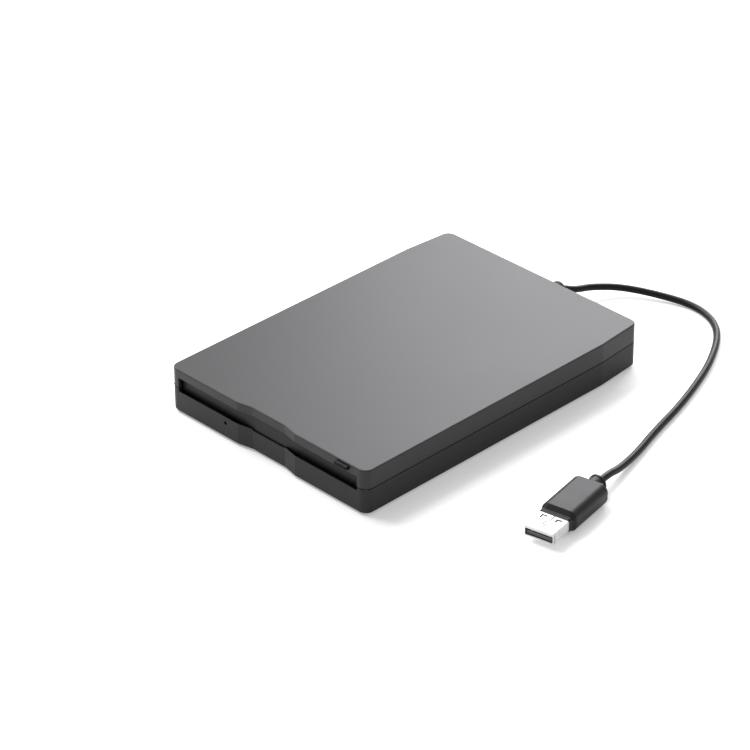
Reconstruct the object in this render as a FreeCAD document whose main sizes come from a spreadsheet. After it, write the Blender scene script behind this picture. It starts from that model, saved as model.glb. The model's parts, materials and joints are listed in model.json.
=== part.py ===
"""External 3.5 inch floppy disk drive with a captive USB lead, as an assembly of separate pieces.

Frame: origin under the middle of the case on the surface it stands on, +X to the right seen from
the front, the disk slot faces -Y, +Z up. Millimetres.
"""
import FreeCAD, Part
import Sketcher
import math
import os
import re

Vector = FreeCAD.Vector
Rotation = FreeCAD.Rotation
Placement = FreeCAD.Placement

# ---------------------------------------------------------------- driving dimensions

SIZES = [
    # the case
    ("case_width", 102.6, "width of the case"),
    ("case_depth", 144.8, "front to back"),
    ("case_height", 18.0, "both shells together, without the feet"),
    ("split_height", 10.0, "height of the lower shell"),
    ("side_wall", 1.6, "side and back walls of the shells"),
    ("front_wall", 1.4, "front wall of the shells"),
    ("skin", 1.5, "top and bottom skins"),
    ("corner_round", 3.5, "radius of the upright corners"),
    ("rim_round", 0.6, "radius along the top and bottom rims"),
    ("tail_length", 21.4, "length over which the sides draw in at the back"),
    ("tail_inset", 1.8, "how far each side draws in"),
    ("seam_gap", 0.35, "height of the shadow groove between the shells"),
    ("seam_depth", 0.8, "depth of that groove"),
    ("recess_mouth", 30.0, "width of the finger recess at the front face"),
    ("recess_floor", 16.8, "width of its flat floor"),
    ("recess_depth", 1.4, "its depth"),
    ("notch_depth", 0.6, "how far the sill drops over the floor of the recess"),
    ("slot_side", 4.5, "each side of the case to the end of the disk slot"),
    ("slot_height", 5.9, "height of the disk slot"),
    ("slot_sill", 8.7, "height of the sill over the underside of the case"),
    ("sill_edge", 0.2, "thickness left at the front of the bevelled sill"),
    ("light_offset", 21.5, "activity light, to the left of the middle"),
    ("light_height", 6.2, "activity light, over the underside of the case"),
    ("light_hole", 0.75, "radius of the hole in front of the light"),
    ("foot_rise", 0.8, "how far the rubber feet stand proud"),
    ("foot_sink", 0.5, "depth of the sinks that hold them"),
    ("foot_radius", 4.5, "radius of a foot"),
    ("foot_side", 10.0, "a foot's centre, in from the side of the case"),
    ("foot_end", 14.0, "a foot's centre, in from the front or back"),
    ("fit_gap", 0.1, "clearance of pieces that are pressed or dropped in place"),
    ("run_gap", 0.3, "clearance of pieces that slide past each other"),
    ("shaft_gap", 0.04, "radial clearance of a running shaft"),
    ("hook_width", 7.0, "width of a snap hook"),
    ("hook_sheet", 0.7, "thickness of a snap hook"),
    ("hook_reach", 3.0, "how far a snap hook goes below the seam"),
    ("hook_nose", 0.5, "how far its nose stands out"),
    ("hook_spread", 40.0, "snap hooks, distance from the middle to front and back"),
    ("post_radius", 3.6, "screw posts of the shells"),
    ("post_side", 8.0, "rear screw posts, in from the sides of the case"),
    ("post_inset", 6.5, "rear screw posts, from the back face"),
    ("case_screw_radius", 1.1, "shank of a case screw"),
    ("case_screw_head", 2.2, "radius of its head"),
    ("case_screw_depth", 3.2, "how deep the head sits in its well"),
    ("case_screw_length", 9.0, "shank under the head"),
    # the dust door
    ("door_sheet", 1.0, "thickness of the dust door"),
    ("door_gap", 0.6, "from the floor of the recess back to the door"),
    ("door_side_gap", 0.3, "each end of the door to the slot's end"),
    ("door_head_gap", 0.2, "above the door"),
    ("door_lap", 0.45, "how far the door hangs below the sill"),
    ("door_room", 1.2, "between the swung door and the cradle"),
    ("door_pin", 0.45, "radius of its pivot pins"),
    ("lug_width", 1.4, "width of the lugs that carry the pins"),
    ("lug_depth", 2.2, "how far the lugs stand behind the front wall"),
    # the eject button
    ("button_side", 11.3, "its middle, in from the right side of the case"),
    ("button_width", 6.0, "width"),
    ("button_height", 1.75, "height where it fills its window"),
    ("button_depth", 9.3, "front to back"),
    ("button_proud", 1.7, "how far its tab stands out of the front"),
    ("button_tab", 1.05, "thickness of that tab"),
    ("button_drop", 0.75, "below the top of the case"),
    ("button_gap", 0.15, "around it in its window"),
    ("arm_width", 4.0, "width of the arm that carries it"),
    # the disk and the travel of the mechanism
    ("disk_thickness", 3.3, "a 3.5 inch disk"),
    ("disk_rise", 0.5, "a disk that slides in, over the sill"),
    ("disk_inset", 3.5, "a loaded disk, behind the door's face"),
    ("hub_shift", 0.5, "hub, behind the middle of the disk"),
    ("lift", 2.0, "how far the cradle lowers the disk"),
    ("slide_travel", 4.5, "travel of the slide plate and button"),
    # cradle, slide plate and tray
    ("sheet", 0.6, "sheet of the cradle and slide plate"),
    ("disk_play", 0.8, "above the disk in the cradle"),
    ("lip_width", 6.4, "lips of the cradle under the disk"),
    ("cradle_tail", 2.5, "cradle behind the leading edge of the disk"),
    ("plate_gap", 0.4, "between cradle, slide plate and tray rim"),
    ("pin_radius", 0.9, "guide pins of the cradle"),
    ("front_pin", 12.0, "front guide pins, behind the cradle's front edge"),
    ("rear_pin", 18.0, "rear guide pins, ahead of the cradle's rear edge"),
    ("tray_sheet", 0.8, "floor of the tray"),
    ("tray_wall", 0.7, "walls of the tray"),
    ("tray_side_gap", 1.0, "between the tray and the case"),
    ("tray_rise", 1.1, "height of the posts under the tray"),
    ("tray_back_gap", 12.0, "from the back of the tray to the back of the case"),
    ("tray_hole", 6.4, "radius of the lightening holes of the tray"),
    ("frame_screw_side", 3.7, "tray screws, in from the tray's walls"),
    ("frame_screw_front", 21.5, "front tray screws, behind the tray's front edge"),
    ("frame_screw_back", 16.0, "rear tray screws, ahead of the tray's rear edge"),
    ("frame_screw_head", 1.9, "radius of a tray screw's head"),
    ("frame_screw_cap", 0.9, "height of that head"),
    ("frame_screw_radius", 0.9, "radius of its shank"),
    ("frame_screw_length", 2.0, "length of its shank in the post"),
    ("spring_radius", 0.95, "slide springs"),
    ("spring_reach", 16.0, "front end of the slide springs, ahead of the cradle's rear edge"),
    ("spring_length", 18.5, "slide springs, from peg to peg"),
    ("spring_height", 1.6, "axis of the slide springs over the tray floor"),
    # shutter lever
    ("lever_offset", 36.0, "pivot, to the right of the middle"),
    ("lever_back", 14.0, "pivot, ahead of the cradle's rear edge"),
    ("lever_length", 24.0, "pivot to tip"),
    ("lever_angle", 50.0, "from the left towards the front, at rest"),
    ("lever_width", 4.0, "width of its arm"),
    ("lever_pin", 1.2, "radius of its rivet"),
    ("spring_stack", 0.7, "height of its spring"),
    # spindle
    ("board_sheet", 0.8, "motor board"),
    ("rotor_radius", 23.0, "rotor can"),
    ("rotor_sheet", 0.5, "sheet of the rotor can"),
    ("stator_radius", 19.0, "outside of the stator"),
    ("stator_height", 1.2, "height of the stator"),
    ("chuck_radius", 12.0, "hub seat"),
    ("hub_gap", 0.2, "hub seat above the underside of a loaded disk"),
    ("shaft_radius", 2.0, "spindle shaft"),
    ("shaft_tip", 1.3, "shaft above the hub seat"),
    ("bearing_radius", 4.5, "outside of the bearing sleeve"),
    ("drive_pin_orbit", 9.5, "drive pin, from the spindle axis"),
    ("drive_pin_radius", 1.0, "drive pin"),
    ("drive_pin_tip", 0.9, "drive pin above the hub seat"),
    # heads
    ("outer_track", 39.5, "radius of the outermost track"),
    ("inner_track", 24.7, "radius of the innermost track"),
    ("head_radius", 2.2, "head buttons"),
    ("head_gap", 0.1, "head to the middle plane of the disk"),
    ("carriage_left", 17.0, "carriage, to the left of the middle"),
    ("carriage_right", 9.0, "carriage, to the right of the middle"),
    ("carriage_tail", 27.5, "carriage behind the heads at rest"),
    ("carriage_gap", 0.25, "under the loaded disk and over the rotor"),
    ("rail_radius", 1.1, "guide rod"),
    ("rail_offset", 13.0, "guide rod, to the left of the middle"),
    ("rail_rise", 1.9, "guide rod over the tray floor"),
    ("rail_spare", 1.9, "guide rod beyond the carriage and its clamp"),
    ("arm_sheet", 0.8, "upper head arm"),
    ("arm_rest_angle", 9.0, "upper head arm, raised while no disk is loaded"),
    ("arm_pivot_back", 24.5, "arm pivot behind the heads"),
    ("arm_half", 6.0, "half the width of the upper arm"),
    ("screw_offset", 16.0, "lead screw, to the right of the middle"),
    ("screw_rise", 3.0, "lead screw over the tray floor"),
    ("screw_radius", 1.4, "lead screw"),
    ("screw_spare", 1.8, "threaded length beyond the travel of the follower"),
    ("nose_gap", 2.9, "from the leading edge of the disk to the screw's bracket"),
    ("stepper_radius", 4.6, "stepping motor"),
    ("stepper_length", 11.0, "stepping motor"),
    ("bracket_sheet", 0.6, "stepper bracket"),
    # electronics
    ("card_sheet", 1.0, "circuit boards"),
    ("card_gap", 0.3, "under a circuit board"),
    ("chip_height", 1.4, "chips"),
    ("chip_side", 6.4, "side of a middling chip"),
    ("wire_radius", 0.33, "conductors of the lead"),
    ("switch_offset", 37.4, "disk switches from the middle"),
    ("switch_height", 2.4, "housing of a switch"),
    ("plunger_radius", 0.6, "switch plungers"),
    ("plunger_reach", 1.5, "plungers above their housing"),
    ("plunger_root", 0.9, "plungers inside their housing"),
    ("ribbon_sheet", 0.2, "motor ribbon"),
    ("ribbon_width", 4.0, "motor ribbon"),
    # strain relief, lead and plug
    ("boot_height", 7.8, "axis of the lead over the underside of the case"),
    ("boot_length", 11.2, "strain relief outside the case, along its axis"),
    ("boot_root", 3.5, "its radius at the case"),
    ("boot_tip", 2.9, "its radius at the end"),
    ("boot_neck", 2.9, "its radius in the wall"),
    ("boot_flange", 4.2, "radius of its inner flange"),
    ("flange_sheet", 1.6, "thickness of that flange"),
    ("cord_radius", 1.4, "lead"),
    ("plug_tip_x", 105.55, "front end of the plug"),
    ("plug_tip_y", -41.8, "front end of the plug"),
    ("plug_heading", -79.0, "direction the plug points, from +X"),
    ("plug_width", 14.4, "plug body"),
    ("plug_height", 8.4, "plug body"),
    ("plug_length", 23.0, "plug body"),
    ("plug_round", 3.5, "its long edges"),
    ("collar_length", 5.0, "collar behind the plug body"),
    ("collar_root", 3.4, "its radius at the plug body"),
    ("collar_tip", 3.1, "its radius at the lead"),
    ("plug_bevel", 1.4, "bevel round the front of the plug body"),
    ("plug_step", 1.0, "low step round the shell, in front of the plug body"),
    ("shell_width", 12.0, "USB-A shell"),
    ("shell_height", 4.5, "USB-A shell"),
    ("shell_reach", 12.0, "USB-A shell, in front of the plug body"),
    ("shell_root", 6.0, "USB-A shell, inside the plug body"),
    ("shell_sheet", 0.3, "its sheet"),
    ("shell_lip", 0.8, "its rolled front lip"),
    ("tongue_height", 1.85, "contact carrier"),
    ("contact_sheet", 0.12, "contacts"),
]

ALIASES = {alias for alias, _, _ in SIZES}

doc = FreeCAD.newDocument("FloppyDrive")
sheet = doc.addObject("Spreadsheet::Sheet", "Dims")
for row, (alias, size, note) in enumerate(SIZES, start=1):
    sheet.set(f"A{row}", note)
    sheet.set(f"B{row}", str(size))
    sheet.setAlias(f"B{row}", alias)
doc.recompute()

# ---------------------------------------------------------------- places worked out from them

PLACES = {
    "half_width": "case_width / 2",
    "back": "case_depth / 2",
    "front": "0 - case_depth / 2",
    "base": "foot_rise",
    "top": "foot_rise + case_height",
    "seam": "foot_rise + split_height",
    "inside_floor": "foot_rise + skin",
    "ceiling": "top - skin",
    "tail_start": "back - tail_length",
    "recess_face": "front + recess_depth",
    "front_back": "front + front_wall",
    "recess_back": "recess_face + front_wall",
    "slot_half": "half_width - slot_side",
    "slot_low": "foot_rise + slot_sill",
    "slot_high": "slot_low + slot_height",
    "light_z": "foot_rise + light_height",
    "inner_side": "half_width - side_wall",
    "inner_back": "back - side_wall",
    "foot_x": "half_width - foot_side",
    "foot_y": "back - foot_end",
    "post_x": "half_width - post_side",
    "post_y": "back - post_inset",
    # door
    "door_face": "recess_face + door_gap",
    "door_axis_y": "door_face + door_sheet / 2",
    "door_axis_z": "slot_high - door_head_gap - door_sheet / 2",
    "door_low": "slot_low - door_lap",
    "door_half": "slot_half - door_side_gap",
    "door_swing": "door_axis_z - door_low",
    "lug_inner": "slot_half + fit_gap",
    "lug_outer": "lug_inner + lug_width",
    # disk, cradle, slide plate and tray
    "disk_low": "slot_low + disk_rise",
    "disk_loaded": "disk_low - lift",
    "disk_tail": "door_face + disk_inset",
    "disk_nose": "screw_front - bracket_sheet - nose_gap",
    "hub_y": "(disk_tail + disk_nose) / 2 + hub_shift",
    "lips_top": "disk_low - fit_gap",
    "cradle_low": "lips_top - sheet",
    "cradle_roof": "disk_low + disk_thickness + disk_play",
    "cradle_top": "cradle_roof + sheet",
    "cradle_inner": "cradle_outer - sheet",
    "cradle_outer": "slide_inner - plate_gap",
    "cradle_front": "door_axis_y + door_swing + door_room",
    "cradle_back": "disk_nose + cradle_tail",
    "pin_z": "(cradle_low + cradle_top) / 2",
    "front_pin_y": "cradle_front + front_pin",
    "rear_pin_y": "cradle_back - rear_pin",
    "slide_low": "cradle_top + plate_gap",
    "slide_top": "slide_low + sheet",
    "slide_front": "cradle_front + slide_travel + run_gap",
    "slide_back": "cradle_back + 2 * lip_width",
    "tray_outer": "inner_side - tray_side_gap",
    "tray_inner": "tray_outer - tray_wall",
    "slide_outer": "tray_inner - run_gap",
    "slide_inner": "slide_outer - sheet",
    "tray_base": "inside_floor + tray_rise",
    "tray_floor": "tray_base + tray_sheet",
    "tray_top": "slide_top + plate_gap",
    "tray_front": "door_axis_y + 2 * door_sheet",
    "tray_back": "back - tray_back_gap",
    "flange_low": "cradle_low - plate_gap",
    "frame_screw_x": "tray_inner - frame_screw_side",
    "frame_screw_low": "tray_front + frame_screw_front",
    "frame_screw_high": "tray_back - frame_screw_back",
    "spring_z": "tray_floor + spring_height",
    "spring_x": "slide_inner - sheet - run_gap",
    "spring_front": "cradle_back - spring_reach",
    "spring_back": "spring_front + spring_length",
    # button
    "button_x": "half_width - button_side",
    "button_top": "top - button_drop",
    "button_low": "button_top - button_height",
    "button_front": "front - button_proud",
    "button_back": "button_front + button_depth",
    "arm_top": "ceiling - button_gap",
    "arm_low": "arm_top - sheet",
    # lever
    "lever_window": "lever_offset + lever_width",
    "lever_y": "cradle_back - lever_back",
    "lever_low": "cradle_top + fit_gap",
    # spindle
    "board_top": "tray_floor + board_sheet",
    "rotor_top": "disk_loaded - lift / 2 - fit_gap",
    "rotor_low": "board_top + run_gap",
    "chuck_top": "disk_loaded + hub_gap",
    # heads
    "head_y": "hub_y + outer_track",
    "head_travel": "outer_track - inner_track",
    "media_z": "disk_loaded + disk_thickness / 2",
    "carriage_low": "tray_floor + run_gap",
    "carriage_top": "disk_loaded - carriage_gap",
    "carriage_front": "rail_front + 2 * sheet + head_travel + run_gap",
    "carriage_back": "head_y + carriage_tail",
    "rail_z": "tray_floor + rail_rise",
    "rail_front": "hub_y + rotor_radius - sheet",
    "rail_back": "carriage_back + run_gap + 2 * sheet + rail_spare",
    "arm_z": "disk_loaded + disk_thickness + carriage_gap + arm_sheet / 2",
    "arm_pivot_y": "head_y + arm_pivot_back",
    "screw_z": "tray_floor + screw_rise",
    "stepper_front": "tray_back + sheet - stepper_length",
    "screw_front": "screw_back - screw_length",
    "screw_back": "stepper_front - bracket_sheet",
    "screw_length": "head_travel + 2 * (follower_radius + run_gap) + screw_spare",
    "follower_radius": "sheet / 1.5",
    "follower_y": "screw_front + follower_radius + run_gap + head_travel",
    "ribbon_front": "stepper_front + ribbon_width",
    "ribbon_back": "ribbon_front + ribbon_width",
    "terminal_x": "screw_offset - stepper_radius - 2 * sheet",
    # boards
    "card_low": "tray_floor + card_gap",
    "card_top": "card_low + card_sheet",
    "rear_card_low": "inside_floor + case_screw_radius + card_gap",
    "rear_card_top": "rear_card_low + card_sheet",
    "rear_card_left": "0 - post_x + post_radius + 2 * run_gap",
    "rear_card_right": "0 - boot_flange - plate_gap",
    "rear_card_front": "tray_back + 2 * tray_sheet",
    "rear_card_back": "inner_back - plate_gap",
    "rear_card_y": "(rear_card_front + rear_card_back) / 2",
    "header_x": "rear_card_right - 0.9 * chip_side",
    "wire_z": "rear_card_top + 1.6 * chip_height",
    "main_left": "0 - spring_x + 2 * spring_radius",
    "main_right": "0 - carriage_left - 2 * sheet",
    "main_front": "rail_front + sheet",
    "main_back": "tray_back - sheet",
    "switch_top": "card_top + switch_height",
    "switch_y": "disk_tail + 2 * slide_travel",
    "plunger_low": "switch_top - plunger_root",
    "plunger_top": "switch_top + plunger_reach",
    "plunger_travel": "plunger_top - disk_loaded",
    # lead
    "boot_z": "foot_rise + boot_height",
    "boot_end": "back + boot_length",
    "boot_hole": "boot_neck + fit_gap",
    "boot_inner": "inner_back - flange_sheet",
    "plug_z": "plug_height / 2",
}

WORD = re.compile(r"[a-z_][a-z_0-9]*")


def formula(text):
    """The expression with every place and size named as a cell of the sheet."""
    def swap(match):
        word = match.group(0)
        if word in PLACES:
            return f"({formula(PLACES[word])})"
        if word in ALIASES:
            return f"Dims.{word}"
        return word

    return WORD.sub(swap, str(text))


def value(text):
    """The number that an expression stands for now."""
    return float(sheet.evalExpression(formula(text)))


# ---------------------------------------------------------------- Part primitives

ALONG = {
    "x": Rotation(Vector(0, 1, 0), 90),
    "y": Rotation(Vector(1, 0, 0), -90),
    "z": Rotation(),
}


def bind(item, **formulas):
    """Tie properties to expressions; a double underscore in a name stands for a dot."""
    for path, text in formulas.items():
        item.setExpression(path.replace("__", "."), formula(text))
    return item


def place(item, x, y, z):
    """Tie the three coordinates of an object's placement."""
    return bind(item, Placement__Base__x=x, Placement__Base__y=y, Placement__Base__z=z)


def block(name, x, y, z):
    """A box between a low and a high coordinate in each direction."""
    item = doc.addObject("Part::Box", name)
    bind(item, Length=f"({x[1]}) - ({x[0]})", Width=f"({y[1]}) - ({y[0]})", Height=f"({z[1]}) - ({z[0]})")
    return place(item, x[0], y[0], z[0])


def on_axis(item, axis, centre, low):
    """Stand a round primitive on its axis; centre holds its other two coordinates."""
    item.Placement = Placement(Vector(), ALONG[axis])
    first, second = centre
    spots = {"x": (low, first, second), "y": (first, low, second), "z": (first, second, low)}
    return place(item, *spots[axis])


def rod(name, axis, centre, radius, low, high):
    """A cylinder along X, Y or Z."""
    item = doc.addObject("Part::Cylinder", name)
    bind(item, Radius=radius, Height=f"({high}) - ({low})")
    return on_axis(item, axis, centre, low)


def cone(name, axis, centre, low_radius, high_radius, low, high):
    """A cone frustum along X, Y or Z."""
    item = doc.addObject("Part::Cone", name)
    bind(item, Radius1=low_radius, Radius2=high_radius, Height=f"({high}) - ({low})")
    return on_axis(item, axis, centre, low)


def join(name, *items):
    """One solid, or several apart, from the union of items."""
    item = doc.addObject("Part::MultiFuse", name)
    item.Shapes = list(items)
    item.Refine = True
    return item


def trim(name, base, *tools):
    """The base with the tools cut away."""
    item = doc.addObject("Part::Cut", name)
    item.Base = base
    item.Tool = tools[0] if len(tools) == 1 else join(name + "_tools", *tools)
    item.Refine = True
    return item


def group(name, *items):
    """Separate solids kept in one node."""
    item = doc.addObject("Part::Compound", name)
    item.Links = list(items)
    return item


def sleeve(name, axis, centre, outer, inner, low, high):
    """A tube along X, Y or Z."""
    return trim(name, rod(name + "_outside", axis, centre, outer, low, high),
                rod(name + "_bore", axis, centre, inner, low, high))


# ---------------------------------------------------------------- PartDesign bodies

def body(name):
    """An empty PartDesign body."""
    item = doc.addObject("PartDesign::Body", name)
    item.Label = name
    return item


def origin_plane(part, role):
    """One of the three planes of a body's own origin."""
    return next(item for item in part.Origin.OriginFeatures if item.Role == role + "_Plane")


def rectangle(x, y):
    """The corners of a rectangle between two pairs of coordinates."""
    return [(x[0], y[0]), (x[1], y[0]), (x[1], y[1]), (x[0], y[1])]


def both_sides(points):
    """An outline mirrored in the vertical axis: the points of the right half, then the left."""
    return points + [(f"0 - ({x})", y) for x, y in reversed(points)]


def draw(sketch, loop):
    """Add one closed loop: a list of corners, or a (x, y, radius) circle, all tied to the sheet."""
    first = sketch.GeometryCount
    if isinstance(loop, tuple):
        x, y, radius = loop
        centre = Vector(value(x), value(y), 0)
        sketch.addGeometry(Part.Circle(centre, Vector(0, 0, 1), value(radius)))
        fixed = [("DistanceX", -1, 1, first, 3, x), ("DistanceY", -1, 1, first, 3, y)]
        row = sketch.addConstraint(Sketcher.Constraint("Radius", first, value(radius)))
        sketch.setExpression(f"Constraints[{row}]", formula(radius))
    else:
        spots = [Vector(value(x), value(y), 0) for x, y in loop]
        for here, there in zip(spots, spots[1:] + spots[:1]):
            sketch.addGeometry(Part.LineSegment(here, there))
        fixed = []
        for turn, (x, y) in enumerate(loop):
            line = first + turn
            before = first + (turn - 1) % len(loop)
            sketch.addConstraint(Sketcher.Constraint("Coincident", before, 2, line, 1))
            fixed += [("DistanceX", -1, 1, line, 1, x), ("DistanceY", -1, 1, line, 1, y)]
    for *where, text in fixed:
        row = sketch.addConstraint(Sketcher.Constraint(*where, value(text)))
        sketch.setExpression(f"Constraints[{row}]", formula(text))


def sketch_on(part, plane, loops, offset):
    """A sketch on an origin plane, moved along the plane's normal by offset."""
    sketch = part.newObject("Sketcher::SketchObject", part.Name + "_sketch")
    sketch.AttachmentSupport = [(origin_plane(part, plane), "")]
    sketch.MapMode = "FlatFace"
    sketch.setExpression("AttachmentOffset.Base.z", formula(offset))
    for loop in loops:
        draw(sketch, loop)
    return sketch


def pad(part, plane, loops, low, high):
    """Material between two coordinates along the plane's axis. The XZ plane's normal is -Y."""
    start = f"0 - ({high})" if plane == "XZ" else low
    sketch = sketch_on(part, plane, loops, start)
    item = part.newObject("PartDesign::Pad", part.Name + "_pad")
    item.Profile = sketch
    item.setExpression("Length", formula(f"({high}) - ({low})"))
    return item


def pocket(part, plane, loops, low, high):
    """A cut between two coordinates along the plane's axis."""
    start = f"0 - ({low})" if plane == "XZ" else high
    sketch = sketch_on(part, plane, loops, start)
    item = part.newObject("PartDesign::Pocket", part.Name + "_pocket")
    item.Profile = sketch
    item.setExpression("Length", formula(f"({high}) - ({low})"))
    return item


def turned(name, profile, axis, spot):
    """A body of revolution from (radius, distance along the axis) corners, stood at a spot."""
    part = body(name)
    sketch = sketch_on(part, "XZ", [profile], "0")
    item = part.newObject("PartDesign::Revolution", name + "_turn")
    item.Profile = sketch
    item.ReferenceAxis = (sketch, ["V_Axis"])
    item.Angle = 360
    part.Placement = Placement(Vector(), ALONG[axis])
    return place(part, *spot)


def mirror(part, features):
    """The features repeated on the other side of the YZ plane."""
    item = part.newObject("PartDesign::Mirrored", part.Name + "_mirror")
    item.Originals = features
    item.MirrorPlane = (origin_plane(part, "YZ"), [""])
    part.Tip = item
    return item


def dress(part, kind, test, size):
    """A fillet or chamfer on the edges of the body's tip that pass the test."""
    doc.recompute()
    tip = part.Tip
    names = [f"Edge{row}" for row, edge in enumerate(tip.Shape.Edges, start=1) if test(edge)]
    if not names:
        raise RuntimeError(f"{part.Label}: no edge to dress")
    item = part.newObject("PartDesign::" + kind, part.Name + "_" + kind.lower())
    item.Base = (tip, names)
    prop = "Radius" if kind == "Fillet" else "Size"
    item.setExpression(prop, formula(size))
    part.Tip = item
    return item


def ends(edge):
    """The two end points of an edge."""
    return [vertex.Point for vertex in edge.Vertexes]


def upright_at(spots):
    """A test for upright edges that stand at one of the (x, y) spots."""
    def test(edge):
        points = ends(edge)
        if len(points) != 2 or abs(points[0].z - points[1].z) < 1e-3:
            return False
        if (points[0] - points[1]).cross(Vector(0, 0, 1)).Length > 1e-3:
            return False
        return any(math.hypot(points[0].x - x, points[0].y - y) < 0.01 for x, y in spots)

    return test


def level_at(height):
    """A test for edges that lie in one level plane."""
    return lambda edge: all(abs(point.z - height) < 1e-3 for point in ends(edge))


# ---------------------------------------------------------------- the two shells

def case_outline(inset, front_inset):
    """Plan of the case: recess in the front, sides drawn in at the back, all moved in by inset."""
    return both_sides([
        ("recess_floor / 2", f"recess_face + ({front_inset})"),
        ("recess_mouth / 2", f"front + ({front_inset})"),
        (f"half_width - ({inset})", f"front + ({front_inset})"),
        (f"half_width - ({inset})", "tail_start"),
        (f"half_width - tail_inset - ({inset})", f"back - ({inset})"),
    ])


def round_case(part, height):
    """The upright corners and the outer rim of a shell, before it is hollowed."""
    side, near, far = value("half_width"), value("front"), value("back")
    tail = side - value("tail_inset")
    corners = [(side, near), (-side, near), (tail, far), (-tail, far)]
    dress(part, "Fillet", upright_at(corners), "corner_round")
    dress(part, "Fillet", level_at(value(height)), "rim_round")


def boot_opening(part):
    """The round hole in the back wall for the strain relief."""
    pocket(part, "XZ", [("0", "boot_z", "boot_hole")], "inner_back - fit_gap", "back + fit_gap")


def top_cover():
    part = body("top_cover")
    pad(part, "XY", [case_outline("0", "0")], "seam + seam_gap", "top")
    round_case(part, "top")
    pad(part, "XY", [case_outline("seam_depth", "seam_depth")], "seam", "seam + seam_gap")
    pocket(part, "XY", [case_outline("side_wall", "front_wall")], "seam", "ceiling")
    pocket(part, "XZ", [rectangle(("0 - slot_half", "slot_half"), ("seam - seam_gap", "slot_high"))],
           "front - fit_gap", "recess_back + fit_gap")
    window = rectangle(("button_x - button_width / 2 - button_gap",
                        "button_x + button_width / 2 + button_gap"),
                       ("button_low - button_gap", "button_top + button_gap"))
    pocket(part, "XZ", [window], "front - fit_gap", "button_back + run_gap")
    boot_opening(part)
    # lugs behind the front wall that carry the door's pins
    lug = pad(part, "YZ", [rectangle(("front_back - front_wall / 2", "front_back + lug_depth"),
                                     ("door_axis_z - lug_depth / 2", "ceiling"))],
              "lug_inner", "lug_outer")
    bore = pocket(part, "YZ", [("door_axis_y", "door_axis_z", "door_pin + shaft_gap")],
                  "lug_inner - fit_gap", "lug_outer + fit_gap")
    # rear screw bosses, down to the posts of the lower shell
    boss = pad(part, "XY", [("post_x", "post_y", "post_radius")], "seam", "ceiling")
    pilot = pocket(part, "XY", [("post_x", "post_y", "case_screw_radius")],
                   "seam", "ceiling - skin")
    hooks = []
    for sign in ("0 - ", ""):
        low = f"{sign}hook_spread - hook_width / 2"
        high = f"{sign}hook_spread + hook_width / 2"
        # root on the wall above the seam, tongue down inside the lower shell, nose outward
        hooks.append(pad(part, "XZ", [[
            ("inner_side - fit_gap - hook_sheet", "seam - hook_reach"),
            ("inner_side - fit_gap", "seam - hook_reach"),
            ("inner_side - fit_gap + hook_nose", "seam - hook_reach + hook_nose"),
            ("inner_side - fit_gap + hook_nose", "seam - hook_reach + 2 * hook_nose"),
            ("inner_side - fit_gap", "seam - hook_reach + 2 * hook_nose"),
            ("inner_side - fit_gap", "seam + seam_gap"),
            ("inner_side + side_wall / 2", "seam + seam_gap + side_wall / 2"),
            ("inner_side + side_wall / 2", "ceiling"),
            ("inner_side - fit_gap - hook_sheet", "ceiling"),
        ]], low, high))
    mirror(part, [lug, bore, boss, pilot] + hooks)
    return part


def bevel_sill(part):
    """The sill of the slot falls away behind its front edge, following the recess."""
    sketches = []
    for inset, height in (("sill_edge", "slot_low"), ("front_wall", "slot_low - front_wall + sill_edge")):
        loop = both_sides([
            ("recess_floor / 2", f"recess_face + {inset}"),
            ("recess_mouth / 2", f"front + {inset}"),
            ("slot_half", f"front + {inset}"),
            ("slot_half", "recess_back + front_wall"),
        ])
        sketches.append(sketch_on(part, "XY", [loop], height))
    item = part.newObject("PartDesign::SubtractiveLoft", part.Name + "_bevel")
    item.Profile = sketches[0]
    item.Sections = sketches[1:]
    item.Ruled = True
    part.Tip = item


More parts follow.
